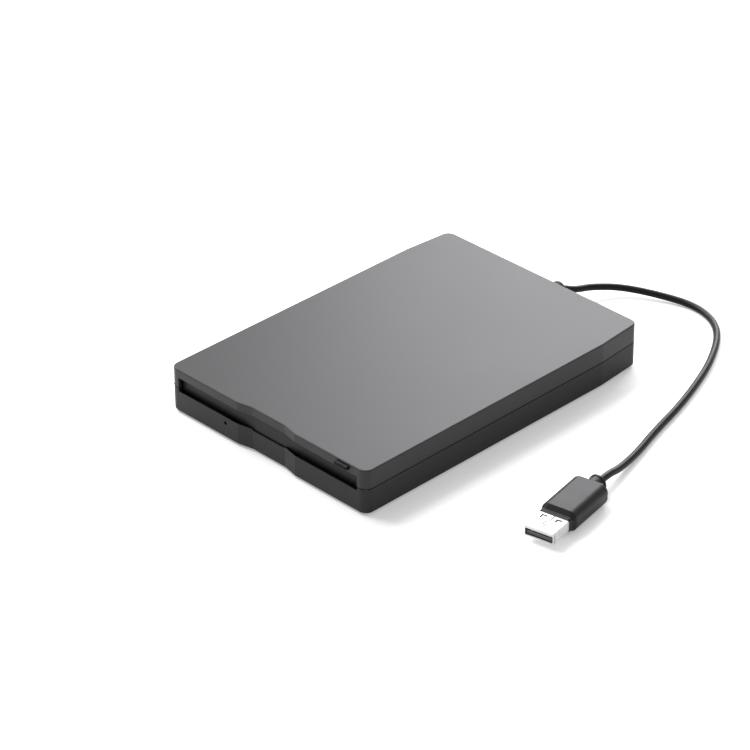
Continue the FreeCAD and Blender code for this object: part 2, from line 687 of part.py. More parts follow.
def bottom_cover():
    part = body("bottom_cover")
    pad(part, "XY", [case_outline("0", "0")], "base", "seam")
    round_case(part, "base")
    pocket(part, "XY", [case_outline("side_wall", "front_wall")], "inside_floor", "seam")
    pocket(part, "XZ", [rectangle(("0 - slot_half", "slot_half"), ("slot_low", "seam + seam_gap"))],
           "front - fit_gap", "recess_back + fit_gap")
    bevel_sill(part)
    # a fingertip reaches a little lower over the floor of the recess
    pocket(part, "XZ", [rectangle(("0 - recess_floor / 2", "recess_floor / 2"),
                                  ("slot_low - notch_depth", "slot_low + fit_gap"))],
           "front - fit_gap", "recess_back + fit_gap")
    pocket(part, "XZ", [("0 - light_offset", "light_z", "light_hole")],
           "front - fit_gap", "front_back + fit_gap")
    boot_opening(part)
    features = []
    # posts under the tray and their pilot holes
    for spot in ("frame_screw_low", "frame_screw_high"):
        centre = ("frame_screw_x", spot)
        features.append(pad(part, "XY", [(*centre, "frame_screw_head + side_wall / 2")],
                            "inside_floor - fit_gap", "tray_base"))
        features.append(pocket(part, "XY", [(*centre, "frame_screw_radius")],
                               "tray_base - frame_screw_length", "tray_base"))
    # rear posts with a well for the screw heads
    centre = ("post_x", "post_y")
    features.append(pad(part, "XY", [(*centre, "post_radius")], "inside_floor - fit_gap", "seam"))
    features.append(pocket(part, "XY", [(*centre, "case_screw_radius + fit_gap")], "base", "seam"))
    features.append(pocket(part, "XY", [(*centre, "case_screw_head + fit_gap")],
                           "base", "base + case_screw_depth"))
    for spot in ("0 - foot_y", "foot_y"):
        features.append(pocket(part, "XY", [("foot_x", spot, "foot_radius + fit_gap")],
                               "base", "base + foot_sink"))
    # pockets in the side walls for the hook noses
    for sign in ("0 - ", ""):
        features.append(pocket(part, "XZ", [rectangle(
            ("inner_side - fit_gap", "inner_side + hook_nose"),
            ("seam - hook_reach", "seam - hook_reach + 3 * hook_nose"))],
            f"{sign}hook_spread - hook_width / 2 - run_gap",
            f"{sign}hook_spread + hook_width / 2 + run_gap"))
    mirror(part, features)
    # stand-offs of the rear board, left of the lead
    for spot in ("rear_card_left + 3 * case_screw_radius", "rear_card_right - 3 * case_screw_radius"):
        pad(part, "XY", [(spot, "rear_card_y", "2 * case_screw_radius")],
            "inside_floor - fit_gap", "rear_card_low")
    return part


def rubber_feet():
    feet = []
    for column in ("0 - foot_x", "foot_x"):
        for line in ("0 - foot_y", "foot_y"):
            centre = (column, line)
            tag = f"foot_{len(feet)}"
            edge = cone(tag + "_edge", "z", centre, "foot_radius - foot_rise / 2", "foot_radius",
                        "0", "foot_rise / 2")
            sole = rod(tag + "_pad", "z", centre, "foot_radius", "foot_rise / 2", "base + foot_sink")
            feet.append(join(tag, edge, sole))
    return group("rubber_feet", *feet)


def case_screws():
    screws = []
    for column in ("0 - post_x", "post_x"):
        centre = (column, "post_y")
        tag = f"case_screw_{len(screws)}"
        seat = "base + case_screw_depth"
        head = rod(tag + "_head", "z", centre, "case_screw_head", f"{seat} - case_screw_radius", seat)
        shank = rod(tag + "_shank", "z", centre, "case_screw_radius", seat, f"{seat} + case_screw_length")
        drive = [block(f"{tag}_drive_{turn}", (f"{column} - ({x})", f"{column} + {x}"),
                       (f"post_y - {y}", f"post_y + {y}"),
                       (f"{seat} - case_screw_radius", f"{seat} - case_screw_radius / 2"))
                 for turn, (x, y) in enumerate((("case_screw_head / 2", "fit_gap * 2"),
                                                ("fit_gap * 2", "case_screw_head / 2")))]
        screws.append(trim(tag, join(tag + "_body", head, shank), *drive))
    return group("case_screws", *screws)


# ---------------------------------------------------------------- the dust door and its spring

def dust_door():
    part = body("dust_door")
    # a flap with a softly swelling face, its head rounded about the pivot
    pad(part, "YZ", [[
        ("door_face", "door_low + door_sheet / 4"),
        ("door_face + door_sheet / 4", "door_low"),
        ("door_face + door_sheet", "door_low"),
        ("door_face + door_sheet", "door_axis_z + door_sheet / 4"),
        ("door_axis_y + door_sheet / 4", "door_axis_z + door_sheet / 2"),
        ("door_axis_y - door_sheet / 4", "door_axis_z + door_sheet / 2"),
        ("door_face", "door_axis_z + door_sheet / 4"),
    ]], "0 - door_half", "door_half")
    pin = pad(part, "YZ", [("door_axis_y", "door_axis_z", "door_pin")], "door_half - fit_gap",
              "lug_outer + 3 * door_pin")
    mirror(part, [pin])
    return part


def coil(name, axis, spot, radius, wire, low, high, turns):
    """A close-wound spring: a tube whose outside rises and falls once a turn."""
    pitch = f"(({high}) - ({low})) / {turns}"
    waist = f"({radius}) - ({wire}) / 2"
    outside = []
    for turn in range(turns):
        outside.append((waist, f"{low} + {pitch} * {turn}"))
        outside.append((radius, f"{low} + {pitch} * {turn + 0.5}"))
    outside.append((waist, high))
    bore = f"({radius}) - ({wire})"
    return turned(name, [(bore, low)] + outside + [(bore, high)], axis, spot)


def door_spring():
    wire = "hook_sheet / 2"
    return coil("door_spring", "x", ("0", "door_axis_y", "door_axis_z"), f"door_pin + fit_gap / 2 + {wire}",
                wire, "lug_outer + shaft_gap", "lug_outer + 3 * door_pin - shaft_gap", 3)


# ---------------------------------------------------------------- tray and its screws

def tray_outline():
    return rectangle(("0 - tray_outer", "tray_outer"), ("tray_front", "tray_back"))


def drive_frame():
    part = body("drive_frame")
    pad(part, "XY", [tray_outline()], "tray_base", "tray_floor")
    features = [pad(part, "YZ", [[
        ("tray_front", "tray_base"),
        ("tray_back", "tray_base"),
        ("tray_back", "screw_z"),
        ("slide_back + slide_travel", "screw_z"),
        ("slide_back", "tray_top"),
        ("tray_front + 2 * lip_width", "tray_top"),
        ("tray_front + lip_width", "disk_low"),
        ("tray_front", "disk_low"),
    ]], "tray_inner", "tray_outer")]
    # upright guide slots, open at the top, for the cradle's pins
    for spot in ("front_pin_y", "rear_pin_y"):
        reach = "(pin_radius + fit_gap)"
        features.append(pocket(part, "YZ", [rectangle(
            (f"{spot} - {reach}", f"{spot} + {reach}"),
            ("pin_z - lift - pin_radius - run_gap", "tray_top + fit_gap"))],
            "tray_inner - fit_gap", "tray_outer + fit_gap"))
    for spot in ("frame_screw_low", "frame_screw_high"):
        features.append(pocket(part, "XY", [("frame_screw_x", spot, "frame_screw_radius + fit_gap")],
                               "tray_base", "tray_floor"))
    # peg for the front end of a slide spring
    features.append(pad(part, "YZ", [("spring_front", "spring_z", "spring_radius / 2")],
                        "spring_x - spring_radius", "tray_inner + fit_gap"))
    mirror(part, features)
    # openings: bearing of the spindle, well of the stepping motor, lightening holes
    pocket(part, "XY", [("0", "hub_y", "bearing_radius + fit_gap")], "tray_base", "tray_floor")
    pocket(part, "XY", [rectangle(("screw_offset - stepper_radius", "screw_offset + stepper_radius"),
                                  ("stepper_front - fit_gap", "tray_back + fit_gap"))],
           "tray_base", "tray_floor")
    before_rotor = "(tray_front + hub_y - rotor_radius - tray_hole) / 2"
    for sign in ("0 - ", ""):
        pocket(part, "XY", [(f"{sign}tray_outer / 2", before_rotor, "tray_hole")], "tray_base", "tray_floor")
        pocket(part, "XY", [(f"{sign}tray_outer / 1.5", "rail_front + 4 * tray_hole", "1.2 * tray_hole")],
               "tray_base", "tray_floor")
    return part


def frame_screws():
    screws = []
    for column in ("0 - frame_screw_x", "frame_screw_x"):
        for line in ("frame_screw_low", "frame_screw_high"):
            centre = (column, line)
            tag = f"frame_screw_{len(screws)}"
            head = rod(tag + "_head", "z", centre, "frame_screw_head",
                       "tray_floor", "tray_floor + frame_screw_cap")
            shank = rod(tag + "_shank", "z", centre, "frame_screw_radius - fit_gap / 2",
                        "tray_base - frame_screw_length + fit_gap", "tray_floor")
            slot = block(tag + "_slot",
                         (f"{column} - frame_screw_head / 1.5", f"{column} + frame_screw_head / 1.5"),
                         (f"{line} - fit_gap * 2", f"{line} + fit_gap * 2"),
                         ("tray_floor + frame_screw_cap / 2", "tray_floor + frame_screw_cap"))
            screws.append(trim(tag, join(tag + "_body", head, shank), slot))
    return group("frame_screws", *screws)


# ---------------------------------------------------------------- slide plate, button and cradle

def slide_plate():
    part = body("slide_plate")
    # bridge over the cradle with a flange down each side
    pad(part, "XZ", [both_sides([
        ("slide_inner", "slide_low"),
        ("slide_inner", "flange_low"),
        ("slide_outer", "flange_low"),
        ("slide_outer", "slide_top"),
    ])], "slide_front", "slide_back")
    pocket(part, "XY", [rectangle(("0 - lever_window", "lever_window"),
                                  ("slide_front + lip_width", "slide_back + fit_gap"))],
           "slide_low", "slide_top")
    # cam slots: as the plate goes forward by its travel the pins go down by the lift
    cams = []
    reach = "(pin_radius + fit_gap)"
    slant = "sqrt(slide_travel ^ 2 + lift ^ 2)"
    for spot in ("front_pin_y", "rear_pin_y"):
        upper = (f"{spot}", "pin_z")
        lower = (f"{spot} + slide_travel", "pin_z - lift")
        across = (f"{reach} * lift / {slant}", f"{reach} * slide_travel / {slant}")
        cams.append(pocket(part, "YZ", [[
            (f"{upper[0]} - {across[0]} - {across[1]}", f"{upper[1]} - {across[1]} + {across[0]}"),
            (f"{lower[0]} - {across[0]} + {across[1]}", f"{lower[1]} - {across[1]} - {across[0]}"),
            (f"{lower[0]} + {across[0]} + {across[1]}", f"{lower[1]} + {across[1]} - {across[0]}"),
            (f"{upper[0]} + {across[0]} - {across[1]}", f"{upper[1]} + {across[1]} + {across[0]}"),
        ]], "slide_inner - fit_gap", "slide_outer + fit_gap"))
    # tails that hang down to the slide springs, each with its peg
    tail_back = "spring_back + 2 * spring_radius"
    tail = pad(part, "YZ", [rectangle(
        ("spring_back - 2 * spring_radius", tail_back),
        ("spring_z - 1.5 * spring_radius", "flange_low + sheet"))], "slide_inner", "slide_outer")
    peg = pad(part, "YZ", [("spring_back", "spring_z", "spring_radius / 2")],
              "spring_x - spring_radius", "slide_inner + sheet / 2")
    mirror(part, cams + [tail, peg])
    # arm to the button: up behind the door, then forward under the ceiling
    pad(part, "YZ", [[
        ("slide_front + sheet", "slide_low"),
        ("slide_front", "slide_low"),
        ("slide_front", "arm_low"),
        ("button_back - button_depth / 2", "arm_low"),
        ("button_back - button_depth / 2", "arm_top"),
        ("slide_front + sheet", "arm_top"),
    ]], "button_x - arm_width / 2", "button_x + arm_width / 2")
    return part


def eject_button():
    part = body("eject_button")
    # flush where it fills the window, with a thin tab along its upper edge for the finger
    pad(part, "YZ", [[
        ("button_front", "button_top - button_tab"),
        ("front", "button_top - button_tab"),
        ("front", "button_low"),
        ("button_back", "button_low"),
        ("button_back", "button_top"),
        ("button_front + rim_round / 2", "button_top"),
        ("button_front", "button_top - rim_round / 2"),
    ]], "button_x - button_width / 2", "button_x + button_width / 2")
    # socket for the arm of the slide plate
    pocket(part, "XZ", [rectangle(("button_x - arm_width / 2", "button_x + arm_width / 2"),
                                  ("arm_low", "arm_top"))],
           "button_back - button_depth / 2", "button_back")
    return part


def slide_springs():
    springs = []
    for side, sign in (("left", "0 - "), ("right", "")):
        tag = f"slide_spring_{side}"
        x = f"{sign}spring_x"
        barrel = coil(tag + "_barrel", "y", (x, "spring_front", "spring_z"), "spring_radius",
                      "spring_radius / 2", "2 * spring_radius", "spring_length - 2 * spring_radius", 7)
        eyes = []
        wire = (f"{x} - spring_radius / 4", f"{x} + spring_radius / 4")
        for end, spot in enumerate(("spring_front", "spring_back")):
            eyes.append(sleeve(f"{tag}_eye_{end}", "x", (spot, "spring_z"), "spring_radius",
                               "spring_radius / 2 + shaft_gap", *wire))
        links = [block(f"{tag}_link_{end}", wire, span,
                       ("spring_z + spring_radius / 2", "spring_z + spring_radius - shaft_gap"))
                 for end, span in enumerate((
                     ("spring_front + spring_radius / 4", "spring_front + 2.5 * spring_radius"),
                     ("spring_back - 2.5 * spring_radius",
                      "spring_back - spring_radius / 4")))]
        springs.append(join(tag, barrel, *eyes, *links))
    return group("slide_springs", *springs)


def disk_carrier():
    part = body("disk_carrier")
    # folded cradle: roof, two sides, a lip under each side of the disk
    pad(part, "XZ", [both_sides([
        ("cradle_inner", "cradle_roof"),
        ("cradle_inner", "lips_top"),
        ("cradle_outer - lip_width", "lips_top"),
        ("cradle_outer - lip_width", "cradle_low"),
        ("cradle_outer", "cradle_low"),
        ("cradle_outer", "cradle_top"),
    ])], "cradle_front", "cradle_back")
    # throat in the roof for the upper head and the lever's tip
    pocket(part, "XY", [rectangle(("0 - carriage_left + lip_width", "lever_offset - lever_length / 2"),
                                  ("lever_y - lever_length - lip_width / 2", "cradle_back + fit_gap"))],
           "cradle_roof", "cradle_top")
    # opening over the spindle, and a scooped front edge
    pocket(part, "XY", [("0", "hub_y - lip_width", "rotor_radius - lip_width / 2")],
           "cradle_roof", "cradle_top")
    pocket(part, "XY", [[
        ("0 - recess_mouth", "cradle_front - fit_gap"),
        ("recess_mouth", "cradle_front - fit_gap"),
        ("recess_mouth - lip_width", "cradle_front + lip_width"),
        ("0 - recess_mouth + lip_width", "cradle_front + lip_width"),
    ]], "cradle_roof", "cradle_top")
    pocket(part, "XY", [("lever_offset", "lever_y", "lever_pin / 2")], "cradle_roof", "cradle_top")
    # stop tabs folded down behind the disk
    tab = pad(part, "XY", [rectangle(("cradle_inner - lip_width", "cradle_inner + sheet / 2"),
                                     ("cradle_back - sheet", "cradle_back"))], "lips_top - sheet / 2",
              "cradle_roof + sheet / 2")
    mirror(part, [tab])
    return part


def carrier_pins():
    pins = []
    for sign in ("0 - ", ""):
        for spot in ("front_pin_y", "rear_pin_y"):
            tag = f"carrier_pin_{len(pins)}"
            reach = ["cradle_outer", "tray_outer - fit_gap"]
            low, high = reach if not sign else (f"0 - ({reach[1]})", f"0 - ({reach[0]})")
            pins.append(rod(tag, "x", (spot, "pin_z"), "pin_radius", low, high))
    return group("carrier_pins", *pins)


# ---------------------------------------------------------------- shutter lever

def shutter_lever():
    """Modelled about its pivot, pointing to -X, then turned towards the front by its rest angle."""
    part = body("shutter_lever")
    pad(part, "XY", [[
        ("lever_width / 2", "0 - lever_width / 2"),
        ("lever_width / 2", "lever_width / 2"),
        ("0 - lever_width / 2", "lever_width / 1.5"),
        ("0 - lever_length", "lever_width / 4"),
        ("0 - lever_length - lever_width / 3", "0"),
        ("0 - lever_length", "0 - lever_width / 4"),
        ("0 - lever_width / 2", "0 - lever_width / 1.5"),
    ]], "0", "sheet")
    # tip that stands in the way of the disk's shutter
    pad(part, "XY", [("0 - lever_length", "0", "lever_width / 4")],
        "disk_low + disk_play - lever_low", "sheet / 2")
    pocket(part, "XY", [("0", "0", "lever_pin + shaft_gap")], "0", "sheet")
    part.Placement = Placement(Vector(), Rotation(Vector(0, 0, 1), 0))
    part.setExpression("Placement.Rotation.Angle", formula("lever_angle"))
    place(part, "lever_offset", "lever_y", "lever_low")
    return part


def lever_pin():
    """Rivet whose long neck also carries the lever's spring."""
    shank, neck = "lever_pin / 2", "lever_pin"
    coil_top = "sheet + 2 * fit_gap + spring_stack"
    return turned("lever_pin", [
        ("0", "0 - sheet - fit_gap"), (shank, "0 - sheet - fit_gap"), (shank, "0 - fit_gap"),
        ("lever_pin * 1.4", "0 - fit_gap"), ("lever_pin * 1.4", "0 - shaft_gap"), (neck, "0 - shaft_gap"),
        (neck, coil_top), ("lever_pin * 1.5", coil_top),
        ("lever_pin * 1.5", f"{coil_top} + 2 * fit_gap"), ("0", f"{coil_top} + 2 * fit_gap"),
    ], "z", ("lever_offset", "lever_y", "lever_low"))


def lever_spring():
    """Torsion spring round the neck of the lever's rivet."""
    return coil("lever_spring", "z", ("lever_offset", "lever_y", "lever_low"), "lever_pin + sheet",
                "sheet / 1.5", "sheet + fit_gap", "sheet + fit_gap + spring_stack", 3)


# ---------------------------------------------------------------- spindle

def motor_board():
    part = body("motor_board")
    half = "rotor_radius + lip_width + slide_travel"
    pad(part, "XY", [both_sides([
        (half, "hub_y - rotor_radius - lip_width"),
        (half, "hub_y + rotor_radius / 2"),
        ("rotor_radius", "rail_front - 2 * sheet"),
    ])], "tray_floor", "board_top")
    pocket(part, "XY", [("0", "hub_y", "bearing_radius + fit_gap")], "tray_floor", "board_top")
    return part


def motor_stator():
    """A ring of wound poles on a plastic base."""
    centre = ("0", "hub_y")
    low, high = "board_top", "board_top + stator_height"
    ring = sleeve("stator_core", "z", centre, "stator_radius / 2", "bearing_radius + fit_gap", low, high)
    poles = []
    count = 9
    for turn in range(count):
        angle = 360 / count * turn
        tag = f"stator_pole_{turn}"
        item = doc.addObject("Part::Box", tag)
        bind(item, Length="stator_radius / 2 + sheet", Width="stator_radius / 5", Height="stator_height")
        item.Placement = Placement(Vector(), Rotation(Vector(0, 0, 1), angle))
        inner, side = "(stator_radius / 2 - sheet)", "(stator_radius / 10)"
        place(item, f"{inner} * cos({angle}) + {side} * sin({angle})",
              f"hub_y + {inner} * sin({angle}) - {side} * cos({angle})", low)
        poles.append(item)
    return join("motor_stator", ring, *poles)


def spindle_rotor():
    """Flat can with the shaft in its middle."""
    ceiling = "rotor_top - rotor_sheet"
    shaft_top = "chuck_top + shaft_tip"
    return turned("spindle_rotor", [
        ("0", "tray_base"), ("shaft_radius", "tray_base"), ("shaft_radius", ceiling),
        ("rotor_radius - rotor_sheet", ceiling), ("rotor_radius - rotor_sheet", "rotor_low"),
        ("rotor_radius", "rotor_low"), ("rotor_radius", "rotor_top - rotor_sheet / 2"),
        ("rotor_radius - rotor_sheet / 2", "rotor_top"), ("shaft_radius", "rotor_top"),
        ("shaft_radius", f"{shaft_top} - rim_round / 2"),
        ("shaft_radius - rim_round / 2", shaft_top), ("0", shaft_top),
    ], "z", ("0", "hub_y", "0"))


def spindle_bearing():
    return turned("spindle_bearing", [
        ("shaft_radius + shaft_gap", "tray_base"), ("bearing_radius", "tray_base"),
        ("bearing_radius", "rotor_top - rotor_sheet - run_gap"),
        ("shaft_radius + shaft_gap", "rotor_top - rotor_sheet - run_gap"),
    ], "z", ("0", "hub_y", "0"))


def spindle_chuck():
    """Magnetic seat for the disk's metal hub, with a pocket for the drive pin."""
    centre = ("0", "hub_y")
    seat = turned("chuck_seat", [
        ("shaft_radius", "rotor_top"), ("chuck_radius", "rotor_top"),
        ("chuck_radius", "chuck_top - sheet / 2"), ("chuck_radius - sheet / 2", "chuck_top"),
        ("chuck_radius - 2 * sheet", "chuck_top"), ("chuck_radius - 3 * sheet", "chuck_top - sheet / 2"),
        ("shaft_radius + sheet", "chuck_top - sheet / 2"), ("shaft_radius", "chuck_top"),
    ], "z", (*centre, "0"))
    hole = rod("chuck_pin_hole", "z", ("drive_pin_orbit", "hub_y"), "drive_pin_radius",
               "rotor_top", "chuck_top")
    return trim("spindle_chuck", seat, hole)


def drive_pin():
    tip = "chuck_top + drive_pin_tip"
    return turned("drive_pin", [
        ("0", "rotor_top"), ("drive_pin_radius", "rotor_top"),
        ("drive_pin_radius", f"{tip} - drive_pin_tip / 2"), ("drive_pin_radius / 2", tip), ("0", tip),
    ], "z", ("drive_pin_orbit", "hub_y", "0"))


# ---------------------------------------------------------------- head carriage and its drive

def head_carriage():
    part = body("head_carriage")
    deck = "carriage_top - sheet"
    pad(part, "XY", [[
        ("0 - carriage_left", "carriage_front"),
        ("carriage_right", "carriage_front"),
        ("carriage_right", "carriage_back"),
        ("0 - carriage_left", "carriage_back"),
    ]], "carriage_low", "carriage_top")
    # thin nose over the rotor that carries the lower head
    pad(part, "XY", [both_sides([
        ("1.5 * head_radius", "head_y - 1.3 * head_radius"),
        ("arm_half + sheet", "carriage_front"),
        ("arm_half + sheet", "carriage_front + sheet"),
    ])], deck, "carriage_top")
    # hollow underside, two bores for the guide rod and a gap between them
    pocket(part, "XY", [rectangle(("0 - rail_offset + 2 * rail_radius", "carriage_right - 2 * sheet"),
                                  ("carriage_front + 3 * sheet", "carriage_back - 3 * sheet"))],
           "carriage_low", deck)
    pocket(part, "XZ", [("0 - rail_offset", "rail_z", "rail_radius + shaft_gap")],
           "carriage_front - fit_gap", "carriage_back + fit_gap")
    rod_side = "0 - rail_offset + rail_radius + run_gap"
    pocket(part, "XY", [rectangle(("0 - carriage_left - fit_gap", rod_side),
                                  ("carriage_front + lip_width", "carriage_back - lip_width"))],
           "carriage_low", deck)
    # riser behind the disk with two ears for the arm's pivot
    riser = pad(part, "YZ", [[
        ("arm_pivot_y - 2 * arm_sheet", "carriage_top - fit_gap"),
        ("carriage_back", "carriage_top - fit_gap"),
        ("carriage_back - 2 * sheet", "arm_z + 2 * arm_sheet"),
        ("arm_pivot_y - 2 * arm_sheet", "arm_z + 2 * arm_sheet"),
    ]], "arm_half + run_gap", "carriage_right - sheet / 2")
    bore = pocket(part, "YZ", [("arm_pivot_y", "arm_z", "arm_sheet / 2")], "arm_half", "carriage_right")
    mirror(part, [riser, bore])
    return part


def follower_pin():
    """Pin at the side of the carriage that rides in the screw's groove."""
    return rod("follower_pin", "x", ("follower_y", "carriage_top - 2 * sheet"), "follower_radius",
               "carriage_right", "screw_offset - screw_radius - fit_gap / 2")


def arm_pin():
    reach = "(carriage_right - sheet / 2)"
    return rod("arm_pin", "x", ("arm_pivot_y", "arm_z"), "arm_sheet / 2", f"0 - {reach}", reach)


def arm_spring():
    """Torsion spring that presses the upper head down."""
    reach = "(arm_half / 3 - fit_gap)"
    return coil("arm_spring", "x", ("0", "arm_pivot_y", "arm_z"), "arm_sheet", "arm_sheet / 2 - shaft_gap",
                f"0 - {reach}", reach, 4)


def upper_arm():
    """Modelled level about its pivot, then raised by its rest angle."""
    part = body("upper_arm")
    half = "arm_sheet / 2"
    pad(part, "XY", [both_sides([
        ("head_radius * 1.4", "0 - arm_pivot_back - head_radius * 1.4"),
        ("head_radius * 1.6", "0 - arm_pivot_back + head_radius * 1.4"),
        ("arm_half", "0 - arm_pivot_back / 2"),
        ("arm_half", "arm_sheet"),
    ])], f"0 - {half}", half)
    # stiffening rim along both edges, and a knuckle for the pin
    rib = pad(part, "YZ", [rectangle(("0 - arm_pivot_back / 2", "0 - arm_sheet"), ("0", "1.5 * arm_sheet"))],
              "arm_half - sheet", "arm_half")
    mirror(part, [rib])
    pad(part, "YZ", [("0", "0", "arm_sheet")], "0 - arm_half", "arm_half")
    pocket(part, "YZ", [("0", "0", "arm_sheet / 2 + shaft_gap")],
           "0 - arm_half - fit_gap", "arm_half + fit_gap")
    # slot along the middle, and a gap in the knuckle for the spring
    middle = ("0 - arm_half / 3", "arm_half / 3")
    pocket(part, "XY", [rectangle(middle, ("0 - arm_pivot_back / 1.6", "0 - arm_pivot_back / 4"))],
           f"0 - {half}", half)
    pocket(part, "XY", [rectangle(middle, ("0 - 2 * arm_sheet", "2 * arm_sheet"))],
           "0 - arm_sheet", "arm_sheet")
    lift_arm(part)
    return part


def lift_arm(part):
    """Stand a body modelled about the arm's pivot at the pivot, turned up by the rest angle."""
    part.Placement = Placement(Vector(), Rotation(Vector(-1, 0, 0), 1))
    part.setExpression("Placement.Rotation.Angle", formula("arm_rest_angle"))
    place(part, "0", "arm_pivot_y", "arm_z")


def upper_head():
    part = body("upper_head")
    low = "media_z + head_gap - arm_z"
    pad(part, "XY", [("0", "0 - arm_pivot_back", "head_radius")], low, "0 - arm_sheet / 2")
    dress(part, "Chamfer", level_at(value(low)), "sheet / 2")
    lift_arm(part)
    return part


def lower_head():
    face = "media_z - head_gap"
    return turned("lower_head", [
        ("0", "carriage_top"), ("head_radius", "carriage_top"), ("head_radius", f"{face} - sheet / 2"),
        ("head_radius - sheet / 2", face), ("0", face),
    ], "z", ("0", "head_y", "0"))


def guide_rod():
    return rod("guide_rod", "y", ("0 - rail_offset", "rail_z"), "rail_radius", "rail_front", "rail_back")


def rod_clamps():
    clamps = []
    for end, low in enumerate(("rail_front", "rail_back - 2 * sheet")):
        tag = f"rod_clamp_{end}"
        high = f"{low} + 2 * sheet"
        upright = block(tag + "_upright",
                        ("0 - rail_offset - 2 * rail_radius", "0 - rail_offset + 2 * rail_radius"),
                        (low, high), ("tray_floor", "rail_z + 1.35 * rail_radius"))
        hole = rod(tag + "_hole", "y", ("0 - rail_offset", "rail_z"), "rail_radius", low, high)
        clamps.append(trim(tag, upright, hole))
    return group("rod_clamps", *clamps)


def lead_screw():
    """Screw between the legs of its bracket, with journals through both."""
    centre = ("screw_offset", "screw_z")
    thread = rod("screw_thread", "y", centre, "screw_radius", "screw_front + shaft_gap",
                 "screw_back - shaft_gap")
    journal = rod("screw_journal", "y", centre, "screw_radius / 2", "screw_front - bracket_sheet",
                  "stepper_front")
    return join("lead_screw", thread, journal)


def screw_bracket():
    part = body("screw_bracket")
    low, high = "screw_front - bracket_sheet", "stepper_front"
    half = "stepper_radius"
    pad(part, "YZ", [[
        (low, "tray_floor"),
        (high, "tray_floor"),
        (high, "screw_z + stepper_radius"),
        ("screw_back", "screw_z + stepper_radius"),
        ("screw_back", "tray_floor + bracket_sheet"),
        ("screw_front", "tray_floor + bracket_sheet"),
        ("screw_front", "screw_z + 1.5 * screw_radius"),
        (low, "screw_z + 1.5 * screw_radius"),
    ]], f"screw_offset - {half} + sheet", f"screw_offset + {half} - sheet")
    pocket(part, "XZ", [("screw_offset", "screw_z", "screw_radius / 2 + shaft_gap")],
           f"{low} - fit_gap", f"{high} + fit_gap")
    return part


def stepper_motor():
    centre = ("screw_offset", "screw_z")
    end = "stepper_front + stepper_length"
    can = rod("stepper_can", "y", centre, "stepper_radius", "stepper_front", end)
    cap = cone("stepper_cap", "y", centre, "stepper_radius - sheet", "stepper_radius - 2 * sheet",
               end, f"{end} + sheet")
    terminals = block("stepper_terminals", ("terminal_x", "screw_offset - stepper_radius / 2"),
                      ("ribbon_front - fit_gap", "ribbon_back + fit_gap"),
                      ("screw_z - 1.5 * ribbon_sheet", "screw_z + stepper_radius / 2"))
    return join("stepper_motor", can, cap, terminals)


def motor_flex():
    """Flat ribbon from the motor's terminals across the back of the tray to the control board."""
    part = body("motor_flex")
    thick = "ribbon_sheet"
    rise = "card_top"
    foot = "tray_floor + fit_gap"
    drop = "terminal_x - 3 * ribbon_sheet"
    lip = "main_right + ribbon_width / 4"
    pad(part, "XZ", [[
        ("terminal_x", "screw_z"),
        ("terminal_x", f"screw_z + {thick}"),
        (f"{drop} - {thick}", f"screw_z + {thick}"),
        (f"{drop} - {thick}", f"{foot} + {thick}"),
        (f"{lip} + {thick}", f"{foot} + {thick}"),
        (f"{lip} + {thick}", f"{rise} + {thick}"),
        ("main_right - ribbon_width / 2", f"{rise} + {thick}"),
        ("main_right - ribbon_width / 2", rise),
        (lip, rise),
        (lip, foot),
        (drop, foot),
        (drop, "screw_z"),
    ]], "ribbon_front", "ribbon_back")
    return part


# ---------------------------------------------------------------- electronics

def main_board():
    """Control board at the left, cut away round the tray's rear screw."""
    board = block("main_board_card", ("main_left", "main_right"),
                  ("main_front", "main_back"), ("card_low", "card_top"))
    relief = rod("main_board_relief", "z", ("0 - frame_screw_x", "frame_screw_high"),
                 "frame_screw_head + run_gap", "card_low", "card_top")
    return trim("main_board", board, relief)


# Chips of the control board: place across and along it as shares, and half the side.
MAIN_CHIPS = (
    ("0.35", "0.25", "chip_side / 2"),
    ("0.55", "0.6", "chip_side / 1.7"),
    ("0.4", "0.88", "chip_side / 3.4"),
)


def main_chips():
    chips = []
    for turn, (across, along, half) in enumerate(MAIN_CHIPS):
        x = f"main_left + (main_right - main_left) * {across}"
        y = f"main_front + (main_back - main_front) * {along}"
        chips.append(block(f"main_chip_{turn}", (f"{x} - {half}", f"{x} + {half}"),
                           (f"{y} - {half}", f"{y} + {half}"), ("card_top", "card_top + chip_height")))
    return group("main_chips", *chips)


def usb_board():
    return block("usb_board", ("rear_card_left", "rear_card_right"), ("rear_card_front", "rear_card_back"),
                 ("rear_card_low", "rear_card_top"))


def usb_chips():
    """Bridge chip, crystal and the header of the lead."""
    low = "rear_card_top"
    across = ("rear_card_y - chip_side / 2", "rear_card_y + chip_side / 2")
    chip = block("usb_chip", ("rear_card_left + chip_side", "rear_card_left + 2 * chip_side"),
                 across, (low, f"{low} + chip_height"))
    crystal = block("usb_crystal", ("rear_card_left + 2.5 * chip_side", "rear_card_left + 2.8 * chip_side"),
                    ("rear_card_y - chip_side / 3", "rear_card_y + chip_side / 3"),
                    (low, f"{low} + 2 * chip_height"))
    header = block("usb_header", ("header_x - chip_side / 2", "header_x"),
                   across, (low, f"{low} + 2.5 * chip_height"))
    return group("usb_chips", chip, crystal, header)


def front_board():
    """Strip under the front of the disk that carries the light and the disk switches."""
    half = "switch_offset + 2 * sheet + plunger_radius"
    return block("front_board", (f"0 - ({half})", half),
                 ("tray_front + sheet", "switch_y + lip_width / 2"), ("card_low", "card_top"))


SWITCHES = {
    "write_protect": "0 - switch_offset",
    "density": "switch_offset",
    "disk_in": "switch_offset - 2 * lip_width",
}


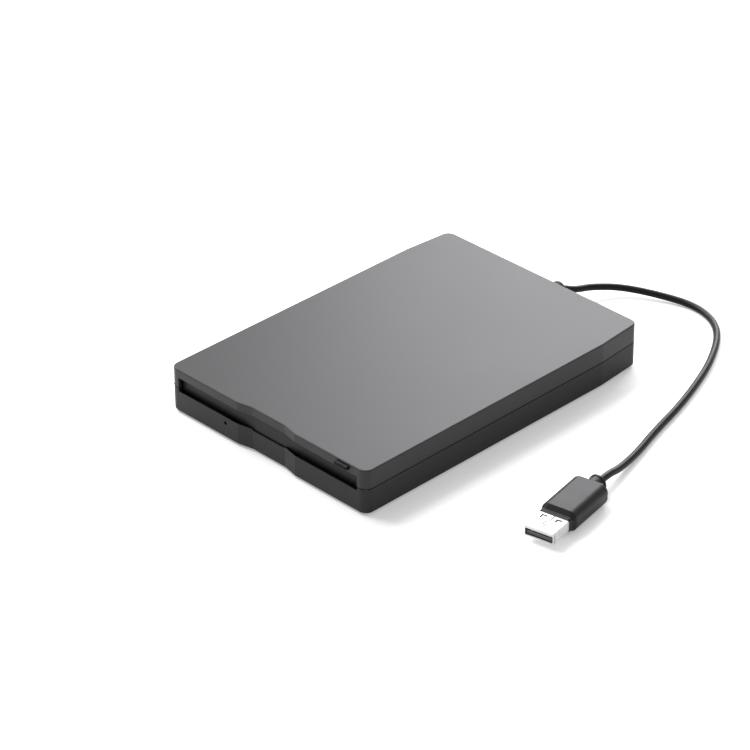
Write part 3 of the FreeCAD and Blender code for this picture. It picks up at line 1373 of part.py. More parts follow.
def disk_switches():
    """Three small switch housings, each bored for its plunger."""
    housings = []
    for name, x in SWITCHES.items():
        half = "(1.5 * sheet + plunger_radius)"
        case = block(name + "_case", (f"{x} - {half}", f"{x} + {half}"),
                     ("switch_y - 4 * sheet", "switch_y + 4 * sheet"), ("card_top", "switch_top"))
        bore = rod(name + "_bore", "z", (x, "switch_y"), "plunger_radius + shaft_gap",
                   "plunger_low - plunger_travel", "switch_top")
        housings.append(trim(name + "_housing", case, bore))
    return group("disk_switches", *housings)


def switch_plunger(name, x):
    """Domed button that a disk presses down as it is lowered."""
    return turned(name + "_plunger", [
        ("0", "plunger_low"),
        ("plunger_radius", "plunger_low"),
        ("plunger_radius", "plunger_top - plunger_radius / 2"),
        ("plunger_radius / 2", "plunger_top"),
        ("0", "plunger_top"),
    ], "z", (x, "switch_y", "0"))


def activity_light():
    """Side-looking diode: lens towards the front, foot on the strip behind it."""
    back = "disk_tail - run_gap"
    lens = rod("light_lens", "y", ("0 - light_offset", "light_z"), "light_hole + fit_gap",
               "front_back + run_gap * 2 + lug_depth / 2", back)
    case = block("light_case", ("0 - light_offset - 2 * light_hole", "0 - light_offset + 2 * light_hole"),
                 (back, "disk_tail + 2 * light_hole"), ("card_top", "disk_loaded - fit_gap"))
    return join("activity_light", lens, case)


def light_pipe():
    """Clear rod from the diode to just behind the front face, on a collar behind the wall."""
    centre = ("0 - light_offset", "light_z")
    pipe = rod("light_pipe_rod", "y", centre, "light_hole - fit_gap / 2",
               "front + sheet", "front_back + lug_depth / 2")
    collar = rod("light_pipe_collar", "y", centre, "light_hole + sheet", "front_back", "front_back + sheet")
    return join("light_pipe", pipe, collar)


# ---------------------------------------------------------------- strain relief, lead and plug

def strain_relief():
    """Sleeve with a flange inside the wall, a collar outside and rings that let it flex.

    Its end is cut square to the lead, which already hangs down there.
    """
    rings = 3
    span = "(boot_length - 2 * sheet - side_wall)"
    profile = [("0", "0 - side_wall - flange_sheet"), ("boot_flange", "0 - side_wall - flange_sheet"),
               ("boot_flange", "0 - side_wall"), ("boot_neck", "0 - side_wall"), ("boot_neck", "0"),
               ("boot_root", "0"), ("boot_root", "side_wall")]
    for ring in range(rings):
        radius = f"(boot_root - (boot_root - boot_tip) * {ring + 1} / {rings})"
        start = f"side_wall + {span} * {ring} / {rings}"
        profile += [(f"{radius} - sheet / 1.5", f"{start} + sheet / 4"),
                    (f"{radius} - sheet / 1.5", f"{start} + sheet * 1.25"),
                    (radius, f"{start} + sheet * 1.5")]
    profile += [("boot_tip", "boot_length + boot_tip / 2"), ("0", "boot_length + boot_tip / 2")]
    sleeve_body = turned("strain_relief_sleeve", profile, "y", ("0", "back", "boot_z"))
    start, following = lead_points()[:2]
    square = doc.addObject("Part::Box", "strain_relief_end")
    bind(square, Length="4 * boot_root", Width="4 * boot_root", Height="2 * boot_tip")
    turn = Rotation(Vector(0, 0, 1), following - start)
    half = value("2 * boot_root")
    square.Placement = Placement(start - turn.multVec(Vector(half, half, 0)), turn)
    return trim("strain_relief", sleeve_body, square)


# Route of the lead in millimetres: out of the strain relief, down to the table, round to the plug.
LEAD_ROUTE = [
    (1.1, 86.9, 7.2),
    (2.3, 90.9, 6.05),
    (4.2, 97.9, 4.75),
    (10.2, 106.3, 3.4),
    (23.25, 114.7, 2.2),
    (36.55, 119.4, 1.5),
    (48.65, 116.9, 1.4),
    (59.55, 107.6, 1.4),
    (69.55, 92.4, 1.4),
    (76.35, 75.9, 1.4),
    (83.15, 58.8, 1.4),
    (88.55, 40.7, 1.4),
    (92.55, 23.8, 1.4),
    (95.25, 11.6, 2.3),
]


def lead_points():
    """The route from the end of the strain relief to the back of the plug's collar."""
    heading = math.radians(value("plug_heading"))
    ahead = Vector(math.cos(heading), math.sin(heading), 0)
    tip = Vector(value("plug_tip_x"), value("plug_tip_y"), value("plug_z"))
    end = tip - ahead * value("shell_reach + plug_length + collar_length")
    start = Vector(0, value("boot_end"), value("boot_z"))
    route = [Vector(*point) for point in LEAD_ROUTE]
    return [start] + route + [end - ahead * value("2 * collar_root"), end]


def rounded_path(points, share):
    """Straight runs joined by tangent arcs that take up the given share of the shorter run."""
    edges = []
    here = points[0]
    radii = []
    for before, corner, after in zip(points, points[1:], points[2:]):
        into = (corner - before).normalize()
        out = (after - corner).normalize()
        turn = into.getAngle(out)
        cut = share * min((corner - before).Length, (after - corner).Length)
        radius = cut / math.tan(turn / 2)
        first = corner - into * cut
        last = corner + out * cut
        middle = corner + (out - into).normalize() * (radius / math.cos(turn / 2) - radius)
        edges.append(Part.LineSegment(here, first).toShape())
        edges.append(Part.Arc(first, middle, last).toShape())
        radii.append(radius)
        here = last
    edges.append(Part.LineSegment(here, points[-1]).toShape())
    return Part.Wire(edges), radii


def tube(points, radius):
    """A round tube along the rounded path through the points."""
    path, radii = rounded_path(points, 0.45)
    direction = points[1] - points[0]
    ring = Part.Wire(Part.Circle(points[0], direction, radius).toShape())
    solid = path.makePipeShell([ring], True, True)
    expected = math.pi * radius ** 2 * path.Length
    if abs(solid.Volume - expected) > 0.01 * expected:
        raise RuntimeError("tube volume differs from its section times its length")
    return solid, path.Length, radii


def usb_cord():
    solid, length, radii = tube(lead_points(), value("cord_radius"))
    print("lead length", round(length, 1), "radii", [round(radius, 1) for radius in radii])
    item = doc.addObject("Part::Feature", "usb_cord")
    item.Shape = solid
    return item


def inner_lead():
    """Four thin conductors from the strain relief to the header of the rear board, bent square."""
    wires = []
    radius = value("wire_radius")
    header = Vector(value("header_x"), value("rear_card_y"), value("wire_z"))
    approach = Vector(value("chip_side / 3"), 0, 0)
    count = 4
    for turn in range(count):
        shift = (turn - (count - 1) / 2) * 2.5 * radius
        leave = Vector(shift, value("boot_inner"), value("boot_z"))
        beside = Vector(0, shift, 0)
        bend = leave - Vector(0, (turn + 1) * 3 * radius, 0)
        route = Part.makePolygon([leave, bend, header + approach + beside, header + beside])
        ring = Part.Wire(Part.Circle(leave, Vector(0, -1, 0), radius).toShape())
        wires.append(route.makePipeShell([ring], True, False, 1))
    item = doc.addObject("Part::Feature", "inner_lead")
    item.Shape = Part.makeCompound(wires)
    return item


def stand_plug(part):
    """Put a body that points along +X with its tip at the origin where the plug lies."""
    part.Placement = Placement(Vector(), Rotation(Vector(0, 0, -1), 1))
    part.setExpression("Placement.Rotation.Angle", formula("0 - plug_heading"))
    return place(part, "plug_tip_x", "plug_tip_y", "plug_z")


def plug_overmold():
    part = body("plug_overmold")
    nose, tail = "0 - shell_reach", "0 - shell_reach - plug_length"
    half_width, half_height = "plug_width / 2", "plug_height / 2"
    pad(part, "YZ", [rectangle((f"0 - {half_width}", half_width), (f"0 - {half_height}", half_height))],
        tail, nose)

    def long_edge(edge):
        points = ends(edge)
        return len(points) == 2 and abs(points[0].x - points[1].x) > value("plug_length") / 2

    def rim_at(place_x):
        return lambda edge: all(abs(point.x - place_x) < 1e-3 for point in ends(edge))

    dress(part, "Fillet", long_edge, "plug_round")
    dress(part, "Chamfer", rim_at(value(nose)), "plug_bevel")
    dress(part, "Fillet", rim_at(value(tail)), "rim_round")
    # low step round the shell, then the shell's socket
    pad(part, "YZ", [rectangle(("0 - shell_width / 2 - shell_sheet", "shell_width / 2 + shell_sheet"),
                               ("0 - shell_height / 2 - sheet", "shell_height / 2 + sheet"))],
        f"{nose} - plug_bevel", f"{nose} + plug_step")
    pocket(part, "YZ", [rectangle(("0 - shell_width / 2", "shell_width / 2"),
                                  ("0 - shell_height / 2", "shell_height / 2"))],
           f"{nose} - shell_root", f"{nose} + plug_step")
    collar = part.newObject("PartDesign::AdditiveCone", "plug_collar")
    bind(collar, Radius1="collar_root", Radius2="collar_tip", Height="collar_length")
    collar.AttachmentSupport = [(origin_plane(part, "YZ"), "")]
    collar.MapMode = "FlatFace"
    collar.AttachmentOffset = Placement(Vector(), Rotation(Vector(0, 1, 0), 180))
    collar.setExpression("AttachmentOffset.Base.z", formula(tail))
    part.Tip = collar
    return stand_plug(part)


def plug_shell():
    """Folded steel shell: a rectangular tube with a rolled lip and two pairs of square windows."""
    part = body("plug_shell")
    back = "0 - shell_reach - shell_root"
    inner_w, inner_h = "(shell_width / 2 - shell_sheet)", "(shell_height / 2 - shell_sheet)"
    mouth_w, mouth_h = "(shell_width / 2 - shell_lip)", "(shell_height / 2 - shell_lip)"
    pad(part, "YZ", [rectangle(("0 - shell_width / 2", "shell_width / 2"),
                               ("0 - shell_height / 2", "shell_height / 2"))], back, "0")
    dress(part, "Chamfer", lambda edge: all(abs(point.x) < 1e-3 for point in ends(edge)), "shell_sheet")
    pocket(part, "YZ", [rectangle((f"0 - {mouth_w}", mouth_w), (f"0 - {mouth_h}", mouth_h))],
           "0 - shell_lip", "0")
    pocket(part, "YZ", [rectangle((f"0 - {inner_w}", inner_w), (f"0 - {inner_h}", inner_h))],
           f"{back} + shell_sheet", "0 - shell_lip")
    window = pocket(part, "XY", [rectangle(("0 - shell_reach / 1.6", "0 - shell_reach / 2.2"),
                                           ("shell_width / 6", "shell_width / 6 + 7 * shell_sheet"))],
                    "0 - shell_height / 2", "shell_height / 2")
    item = part.newObject("PartDesign::Mirrored", "plug_shell_mirror")
    item.Originals = [window]
    item.MirrorPlane = (origin_plane(part, "XZ"), [""])
    part.Tip = item
    return stand_plug(part)


def plug_tongue():
    part = body("plug_tongue")
    half = "(shell_width / 2 - shell_sheet - shaft_gap)"
    low = "(0 - shell_height / 2 + shell_sheet)"
    pad(part, "YZ", [rectangle((f"0 - {half}", half), (low, f"{low} + tongue_height"))],
        "0 - shell_reach - shell_root + shell_sheet", "0 - shell_lip - shaft_gap")
    return stand_plug(part)


def plug_contacts():
    strips = []
    low = "(0 - shell_height / 2 + shell_sheet + tongue_height)"
    half = "(1.6 * shell_sheet)"
    outer, inner = "0.29 * shell_width", "0.083 * shell_width"
    # the outer pair makes contact first, so it reaches further forward
    for turn, (y, setback) in enumerate(((f"0 - {outer}", 1), (f"0 - {inner}", 2), (inner, 2), (outer, 1))):
        strips.append(block(f"plug_contact_{turn}",
                            ("0 - shell_reach", f"0 - shell_lip - {setback} * shell_sheet"),
                            (f"{y} - {half}", f"{y} + {half}"), (low, f"{low} + contact_sheet")))
    return stand_plug(group("plug_contacts", *strips))


# ---------------------------------------------------------------- build, check and write

NODES = [
    top_cover(), bottom_cover(), rubber_feet(), case_screws(), dust_door(), door_spring(), eject_button(),
    light_pipe(), drive_frame(), frame_screws(), slide_plate(), slide_springs(), disk_carrier(),
    carrier_pins(), shutter_lever(), lever_pin(), lever_spring(), motor_board(), motor_stator(),
    spindle_rotor(), spindle_bearing(), spindle_chuck(), drive_pin(), head_carriage(), follower_pin(),
    arm_pin(), arm_spring(), upper_arm(), upper_head(), lower_head(), guide_rod(), rod_clamps(),
    lead_screw(), screw_bracket(), stepper_motor(), motor_flex(), main_board(), main_chips(), usb_board(),
    usb_chips(), front_board(), disk_switches(), activity_light(), strain_relief(), usb_cord(),
    inner_lead(), plug_overmold(), plug_shell(), plug_tongue(), plug_contacts(),
] + [switch_plunger(name, x) for name, x in SWITCHES.items()]

doc.recompute()

for item in doc.Objects:
    if "Invalid" in item.State or "Error" in item.State:
        raise RuntimeError(f"{item.Name} failed: {item.State}")
    if item.TypeId == "PartDesign::Pocket" and item.Shape.Volume > item.BaseFeature.Shape.Volume - 1e-6:
        raise RuntimeError(f"{item.Name} cuts nothing")

os.makedirs("parts", exist_ok=True)
for node in NODES:
    node.Label = node.Name
    if node.Shape.isNull() or not node.Shape.isValid() or node.Shape.Volume <= 0:
        raise RuntimeError(f"{node.Label} has no valid solid")
    node.Shape.exportStep(f"parts/{node.Label}.step")
print(len(NODES), "nodes written")
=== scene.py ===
"""Looks of the external floppy disk drive: finishes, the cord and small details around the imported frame.

Places and sizes are written in millimetres, apart from the table's, and MM turns them into Blender's metres.
"""

import json
import math

import bmesh
import bpy
from mathutils import Matrix, Vector


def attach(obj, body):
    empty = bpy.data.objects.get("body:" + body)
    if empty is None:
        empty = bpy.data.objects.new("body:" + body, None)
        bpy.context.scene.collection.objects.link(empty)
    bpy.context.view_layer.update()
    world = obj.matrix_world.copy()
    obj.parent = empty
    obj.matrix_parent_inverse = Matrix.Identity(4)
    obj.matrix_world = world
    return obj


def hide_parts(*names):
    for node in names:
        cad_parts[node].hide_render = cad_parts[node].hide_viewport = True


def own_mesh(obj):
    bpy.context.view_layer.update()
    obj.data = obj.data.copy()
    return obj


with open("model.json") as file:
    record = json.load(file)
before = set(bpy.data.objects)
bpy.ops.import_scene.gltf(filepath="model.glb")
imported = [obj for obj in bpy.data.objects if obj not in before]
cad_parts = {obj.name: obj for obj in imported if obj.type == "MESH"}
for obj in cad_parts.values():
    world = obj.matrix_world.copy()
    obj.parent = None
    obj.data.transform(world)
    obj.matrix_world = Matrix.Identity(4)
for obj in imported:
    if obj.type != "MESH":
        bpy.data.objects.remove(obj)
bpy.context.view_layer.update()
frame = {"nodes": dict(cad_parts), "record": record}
MM = 0.001
WHITE = (1, 1, 1, 1)
BLACK = (0, 0, 0, 1)


def link(obj):
    """Puts the object into the scene and returns it."""
    bpy.context.scene.collection.objects.link(obj)
    return obj


# ---------------------------------------------------------------- camera

CAMERA_AZIMUTH = math.radians(45.491)
CAMERA_ELEVATION = math.radians(31.510)
CAMERA_ROLL = math.radians(-0.263)
CAMERA_PLACE = Vector((764.83, -769.06, 670.36)) * MM
CAMERA_LENS = 163.9
CAMERA_SENSOR = 36


def add_camera():
    """The camera stands where the view was taken, turned by azimuth, elevation and a slight roll."""
    back = Vector((
        math.sin(CAMERA_AZIMUTH) * math.cos(CAMERA_ELEVATION),
        -math.cos(CAMERA_AZIMUTH) * math.cos(CAMERA_ELEVATION),
        math.sin(CAMERA_ELEVATION),
    ))
    level = Vector((0, 0, 1)).cross(back).normalized()
    over = back.cross(level)
    right = level * math.cos(CAMERA_ROLL) + over * math.sin(CAMERA_ROLL)
    up = over * math.cos(CAMERA_ROLL) - level * math.sin(CAMERA_ROLL)
    data = bpy.data.cameras.new("camera")
    data.lens = CAMERA_LENS
    data.sensor_width = CAMERA_SENSOR
    camera = link(bpy.data.objects.new("camera", data))
    camera.matrix_world = Matrix((right, up, back)).transposed().to_4x4()
    camera.matrix_world.translation = CAMERA_PLACE
    bpy.context.scene.camera = camera


add_camera()

# ---------------------------------------------------------------- finishes


def plug_in(tree, socket, value):
    """Links a node's output to a socket, or writes a plain value there."""
    if isinstance(value, bpy.types.NodeSocket):
        tree.links.new(value, socket)
    else:
        socket.default_value = value


def add_node(tree, kind, inputs, **settings):
    """Adds a node; inputs maps its sockets to values or to other nodes' outputs."""
    made = tree.nodes.new("ShaderNode" + kind)
    for key, value in settings.items():
        setattr(made, key, value)
    for socket, value in inputs.items():
        plug_in(tree, made.inputs[socket], value)
    return made


class Finish:
    """One procedural material: a Principled shader and the nodes that feed it."""

    # the Mix node's sockets for colours, which share their names with those for numbers
    MIX_ONE, MIX_TWO, MIX_RESULT = 6, 7, 2
    # the dot product of the smoothed and the flat normal on a sharp edge
    SHARP = 0.82
    # rays that look round for edges, and for the walls of crevices
    EDGE_RAYS, CREVICE_RAYS = 6, 8

    def __init__(self, name, roughness=0.5, metallic=0.0, ior=1.5, specular=0.5):
        self.material = bpy.data.materials.new(name)
        self.material.use_nodes = True
        self.tree = self.material.node_tree
        self.tree.nodes.clear()
        self.shader = self.node("BsdfPrincipled", {
            "Roughness": roughness, "Metallic": metallic, "IOR": ior, "Specular IOR Level": specular,
        })
        self.node("OutputMaterial", {"Surface": self.shader.outputs["BSDF"]})
        self.place = self.node("TexCoord", {}).outputs["Object"]

    def node(self, kind, inputs, **settings):
        """Adds a node to this material."""
        return add_node(self.tree, kind, inputs, **settings)

    def set(self, socket, value):
        """Writes a plain value on the shader, or links a node's output to it."""
        plug_in(self.tree, self.shader.inputs[socket], value)

    def noise(self, size, detail, stretch=None):
        """Smooth noise from 0 to 1 whose blotches are about size across; stretch draws it out along axes."""
        vector = self.place
        if stretch:
            vector = self.node("Mapping", {"Vector": self.place, "Scale": stretch}).outputs["Vector"]
        return self.node("TexNoise", {"Vector": vector, "Scale": 1 / size, "Detail": detail}).outputs["Fac"]

    def span(self, value, low, high, to_low=0.0, to_high=1.0):
        """Maps value from low..high to to_low..to_high, held at the ends."""
        return self.node("MapRange", {
            "Value": value, "From Min": low, "From Max": high, "To Min": to_low, "To Max": to_high,
        }).outputs["Result"]

    def product(self, one, two):
        """One value times another."""
        return self.node("Math", {0: one, 1: two}, operation="MULTIPLY").outputs[0]

    def mix(self, share, one, two):
        """A colour between one and two."""
        inputs = {0: share, self.MIX_ONE: one, self.MIX_TWO: two}
        return self.node("Mix", inputs, data_type="RGBA").outputs[self.MIX_RESULT]

    def edges(self, radius):
        """How near a sharp edge is, 0 on flats and 1 on the edge, and the normal with that edge rounded."""
        smoothed = self.node("Bevel", {"Radius": radius}, samples=self.EDGE_RAYS).outputs["Normal"]
        flat = self.node("NewGeometry", {}).outputs["Normal"]
        dot = self.node("VectorMath", {0: smoothed, 1: flat}, operation="DOT_PRODUCT")
        return self.span(dot.outputs["Value"], 1.0, self.SHARP), smoothed

    def openness(self, reach):
        """1 on open faces, less in grooves and corners narrower than reach."""
        return self.node("AmbientOcclusion", {"Distance": reach}, samples=self.CREVICE_RAYS).outputs["AO"]

    def bump(self, height, depth, normal=None):
        """The normal over bumps of that depth, on top of another normal where one is given."""
        inputs = {"Height": height, "Distance": depth, "Strength": 1.0}
        if normal is not None:
            inputs["Normal"] = normal
        return self.node("Bump", inputs).outputs["Normal"]


# the middle of a noise pattern, where most of its values lie
MIDDLE = (0.3, 0.7)

# sizes of the patterns in the finishes, and of the edges that they round
MOULDED_EDGE = 0.18 * MM
MOULDED_CLOUD = 22 * MM
WORN_PATCH = 3 * MM
SMEAR = 9 * MM
METAL_EDGE = 0.08 * MM
METAL_BLOTCH = 5 * MM
METAL_MARK = 0.25 * MM
FLOW_RIPPLE = 1.5 * MM
FLOW_DEPTH = 0.01 * MM
GLASS_WEAVE = 0.5 * MM
TRACK_TILE = 4 * MM
TRACK_DEPTH = 0.02 * MM


def tone(level, warmth=0.0):
    """A near-neutral grey as a linear colour; warmth tips it to red, below zero to blue."""
    return (level * (1 + warmth), level, level * (1 - warmth), 1)


def shade(colour, factor, lift=0.0):
    """The colour made lighter or darker, no lighter than white."""
    return tuple(min(1, value * factor + lift) for value in colour[:3]) + (1,)


def moulded(name, level, warmth=-0.01, roughness=0.42, grain=0.22 * MM, depth=0.006 * MM, wear=0.3,
            specular=0.5, colour=None, painted_shade_reach=1.2 * MM):
    """Injection-moulded plastic: spark-eroded grain, faint cloudiness, rubbed edges and painted shade in
    crevices.
    """
    finish = Finish(name, specular=specular)
    base = colour or tone(level * 0.96, warmth)
    cloud = finish.noise(MOULDED_CLOUD, detail=2)
    fine = finish.noise(grain, detail=3)
    edge, smoothed = finish.edges(MOULDED_EDGE)
    body = finish.mix(finish.span(cloud, *MIDDLE), base, shade(base, 1.08))
    speckled = finish.mix(finish.span(fine, 0.35, 0.7, 0, 0.35), body, shade(base, 1.4))
    patches = finish.span(finish.noise(WORN_PATCH, detail=4), 0.4, 0.7, 0.1, wear)
    rubbed = finish.mix(finish.product(edge, patches), speckled, shade(base, 1.5, lift=0.004))
    # painted shade: the colour darkens toward a near black in grooves and corners narrower than the reach
    # given
    open_air = finish.span(finish.openness(painted_shade_reach), 0.35, 0.9)
    finish.set("Base Color", finish.mix(open_air, tone(level * 0.15), rubbed))
    finish.set("Roughness", finish.span(cloud, 0.25, 0.75, roughness - 0.008, roughness + 0.008))
    finish.set("Normal", finish.bump(fine, depth, smoothed))
    return finish.material


def rubbery(name, level, roughness, grain=0.12 * MM, depth=0.004 * MM, specular=0.5):
    """Soft moulded rubber or cord jacket: a fine skin with faint smears."""
    finish = Finish(name, specular=specular)
    smear = finish.noise(SMEAR, detail=2)
    skin = finish.noise(grain, detail=3)
    finish.set("Base Color", finish.mix(finish.span(smear, 0.3, 0.75), tone(level), tone(level * 1.2)))
    finish.set("Roughness", finish.span(smear, *MIDDLE, roughness - 0.02, roughness + 0.03))
    finish.set("Normal", finish.bump(skin, depth))
    return finish.material


def metal(name, colour, roughness, brushed=(1, 1, 1), spangle=0.0, depth=0.002 * MM):
    """Plated or bare metal: rolling marks along one axis or zinc blotches, and brighter rubbed edges."""
    finish = Finish(name, metallic=1.0)
    blotch = finish.noise(METAL_BLOTCH, detail=4)
    marks = finish.noise(METAL_MARK, detail=4, stretch=brushed)
    edge, smoothed = finish.edges(METAL_EDGE)
    bright = shade(colour, 1.06)
    body = finish.mix(finish.span(blotch, *MIDDLE), shade(colour, 0.86 - spangle), bright)
    finish.set("Base Color", finish.mix(finish.product(edge, 0.5), body, bright))
    finish.set("Roughness", finish.span(marks, 0.25, 0.75, roughness * 0.8, roughness * 1.3))
    finish.set("Normal", finish.bump(marks, depth, smoothed))
    return finish.material


def clear(name, colour):
    """Smoked moulded plastic with a faint flow ripple."""
    finish = Finish(name, roughness=0.3, ior=1.49, specular=0.15)
    flow = finish.noise(FLOW_RIPPLE, detail=2)
    finish.set("Base Color", finish.mix(flow, colour, shade(colour, 0.86)))
    finish.set("Transmission Weight", 0.9)
    finish.set("Normal", finish.bump(flow, FLOW_DEPTH))
    return finish.material


def board(name):
    """Green solder mask over copper tracks, with glass cloth faintly showing in its gloss."""
    finish = Finish(name, specular=0.5)
    weave = finish.noise(GLASS_WEAVE, detail=1)
    tracks = finish.node("TexBrick", {
        "Vector": finish.place, "Scale": 1 / TRACK_TILE, "Mortar Size": 0.06, "Brick Width": 0.5,
        "Row Height": 0.18, "Color1": BLACK, "Color2": BLACK, "Mortar": WHITE,
    }).outputs["Color"]
    smear = finish.noise(SMEAR, detail=2)
    mask = finish.mix(finish.span(smear, *MIDDLE), (0.006, 0.07, 0.028, 1), (0.009, 0.095, 0.04, 1))
    finish.set("Base Color", finish.mix(tracks, mask, (0.02, 0.17, 0.06, 1)))
    finish.set("Roughness", finish.span(weave, *MIDDLE, 0.24, 0.36))
    finish.set("Normal", finish.bump(tracks, TRACK_DEPTH))
    return finish.material


# one finish for each material slot of the record, and two more for the cord's jacket and the button
FINISHES = {
    "top_shell": moulded("top_shell", 0.025, specular=0.235),
    "bottom_shell": moulded("bottom_shell", 0.02, roughness=0.5, specular=0.19),
    "black_plastic": moulded("black_plastic", 0.012, specular=0.17),
    "button_plastic": moulded("button_plastic", 0.005, roughness=0.5, specular=0.08, wear=0.9),
    "rubber": rubbery("rubber", 0.01, roughness=0.7, specular=0.3),
    "cable_rubber": rubbery("cable_rubber", 0.005, roughness=0.42, grain=0.3 * MM, depth=0.003 * MM,
                            specular=0.2),
    "cord_jacket": rubbery("cord_jacket", 0.005, roughness=0.33, grain=0.3 * MM, depth=0.002 * MM,
                           specular=0.13),
    "steel": metal("steel", (0.58, 0.57, 0.55), 0.3),
    "dark_steel": metal("dark_steel", (0.1, 0.1, 0.11), 0.42),
    "zinc_steel": metal("zinc_steel", (0.6, 0.61, 0.62), 0.34, brushed=(0.15, 1, 1), spangle=0.08),
    "plug_steel": metal("plug_steel", (0.62, 0.62, 0.63), 0.6, depth=0.0003 * MM),
    "gold": metal("gold", (0.78, 0.55, 0.22), 0.3, depth=0.0008 * MM),
    "brass": metal("brass", (0.72, 0.52, 0.24), 0.32),
    "copper": metal("copper", (0.62, 0.22, 0.08), 0.34),
    "clear_plastic": clear("clear_plastic", (0.02, 0.022, 0.02, 1)),
    "green_board": board("green_board"),
    "chip_plastic": moulded("chip_plastic", 0.018, roughness=0.55, grain=0.08 * MM, wear=0.2),
    "grey_plastic": moulded("grey_plastic", 0.11, roughness=0.5),
    "white_plastic": moulded("white_plastic", 0.7, warmth=0.02, roughness=0.36, wear=0.1),
    "ceramic": moulded("ceramic", 0.5, warmth=0.05, roughness=0.2, depth=0.001 * MM, wear=0.1),
    "amber_film": moulded("amber_film", 0.3, roughness=0.28, colour=(0.5, 0.2, 0.025, 1), wear=0.1),
    "wire_plastic": moulded("wire_plastic", 0.2, roughness=0.35, colour=(0.35, 0.02, 0.015, 1), wear=0.1),
    # the tongue's painted shade reaches only 0.4 mm into its crevices
    "tongue_plastic": moulded("tongue_plastic", 0.12, roughness=0.5, specular=0.3, wear=0.1,
                              painted_shade_reach=0.4 * MM),
}

for part in frame["record"]["subparts"]:
    for material_slot in frame["nodes"][part["node"]].material_slots:
        material_slot.material = FINISHES[part["material_slot"]]
frame["nodes"]["eject_button"].material_slots[0].material = FINISHES["button_plastic"]

# ---------------------------------------------------------------- cord

CORD_RADIUS = 1.4 * MM
CORD_EXIT = (0, 83.6, 8.6)
CORD_ROUTE = [
    CORD_EXIT, (1.1, 86.9, 7.2), (2.3, 90.9, 6.05), (3.4, 98.0, 4.75), (9.9, 107.6, 3.4), (22.9, 115.1, 2.2),
    (36.8, 119.5, 1.5), (48.9, 116.9, 1.4), (59.2, 108.6, 1.4), (69.4, 91.9, 1.4), (76.1, 76.0, 1.4),
    (82.1, 58.7, 1.4), (86.8, 40.6, 1.4), (92.2, 24.5, 1.6), (95.5, 11.1, 2.5), (96.62, 4.14, 4.2),
    (97.918, -2.535, 4.2),
]


def round_wire(name, radius, resolution):
    """An empty curve that is drawn as a round wire of that radius in metres."""
    data = bpy.data.curves.new(name, "CURVE")
    data.dimensions = "3D"
    data.bevel_depth = radius
    data.bevel_resolution = resolution
    data.use_fill_caps = True
    return data


def add_spline(data, kind, places):
    """Adds a spline with those places, in mm, as its points."""
    spline = data.splines.new(kind)
    spline.points.add(len(places) - 1)
    for point, place in zip(spline.points, places):
        point.co = (*(value * MM for value in place), 1)
    return spline


def cord_curve():
    """The captive cord, one smooth spline along its route."""
    data = round_wire("cord", CORD_RADIUS, resolution=7)
    data.resolution_u = 16
    data.materials.append(FINISHES["cord_jacket"])
    spline = add_spline(data, "NURBS", CORD_ROUTE)
    spline.order_u = 3
    spline.use_endpoint_u = True
    return link(bpy.data.objects.new("cord", data))


cord = cord_curve()
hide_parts("usb_cord")
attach(cord, "case")

# ---------------------------------------------------------------- pieces in mesh code

CORNER = 35


def piece(name, mesh, body, slot):
    """A piece that rides on a body, with the finish of one of the record's material slots."""
    if not mesh.materials:
        mesh.materials.append(FINISHES[slot])
    obj = link(bpy.data.objects.new(name, mesh))
    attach(obj, body)
    return obj


def smooth(mesh, corner=CORNER):
    """Shades the mesh smooth but for edges sharper than corner degrees."""
    mesh.shade_smooth()
    mesh.set_sharp_from_angle(angle=math.radians(corner))


def mesh_of(name, shape, stand=None, corner=CORNER):
    """A smooth mesh from a shape in mm, moved to its stand."""
    bmesh.ops.recalc_face_normals(shape, faces=shape.faces)
    shape.transform(Matrix.Scale(MM, 4))
    if stand:
        shape.transform(stand)
    mesh = bpy.data.meshes.new(name)
    shape.to_mesh(mesh)
    shape.free()
    smooth(mesh, corner)
    return mesh


def rounded(half_width, half_height, radius, steps=9):
    """Points (y, z) of a rounded rectangle, once round, with so many steps to a corner."""
    points = []
    for turn, (side, up) in enumerate(((1, 1), (-1, 1), (-1, -1), (1, -1))):
        for step in range(steps + 1):
            angle = math.radians(90 * (turn + step / steps))
            points.append((side * (half_width - radius) + radius * math.cos(angle),
                           up * (half_height - radius) + radius * math.sin(angle)))
    return points


def disc(radius):
    """Points (y, z) of a circle, as many as a rounded rectangle has."""
    return rounded(radius, radius, radius)


def crisp(obj):
    """Flat faces shade flat right up to their rounded edges."""
    weighted = obj.modifiers.new("normals", "WEIGHTED_NORMAL")
    weighted.keep_sharp = True
    weighted.weight = 90
    return obj


def loft(shape, sections):
    """Adds a closed skin along X through (x, points) sections and returns its faces, section by section."""
    rings = [[shape.verts.new((x, y, z)) for y, z in points] for x, points in sections]
    bands = [[shape.faces.new(rings[0])]]
    for one, two in zip(rings, rings[1:]):
        bands.append([shape.faces.new((one[i - 1], one[i], two[i], two[i - 1])) for i in range(len(one))])
    bands.append([shape.faces.new(rings[-1])])
    return bands


def block(shape, low, high):
    """Adds a box between two corners."""
    for vertex in bmesh.ops.create_cube(shape, size=1)["verts"]:
        vertex.co = Vector(tuple((a + b) / 2 + v * (b - a) for a, b, v in zip(low, high, vertex.co)))


def carve(mesh, cutter):
    """The mesh with the cutter shape taken out of it; both in mm."""
    whole = link(bpy.data.objects.new("whole", mesh))
    tool_mesh = bpy.data.meshes.new("tool")
    cutter.to_mesh(tool_mesh)
    cutter.free()
    tool = link(bpy.data.objects.new("tool", tool_mesh))
    cut = whole.modifiers.new("cut", "BOOLEAN")
    cut.operation = "DIFFERENCE"
    cut.solver = "EXACT"
    cut.use_self = True
    cut.object = tool
    carved = bpy.data.meshes.new_from_object(whole.evaluated_get(bpy.context.evaluated_depsgraph_get()))
    bpy.data.objects.remove(whole)
    bpy.data.objects.remove(tool)
    return carved


# ---------------------------------------------------------------- plug and strain relief

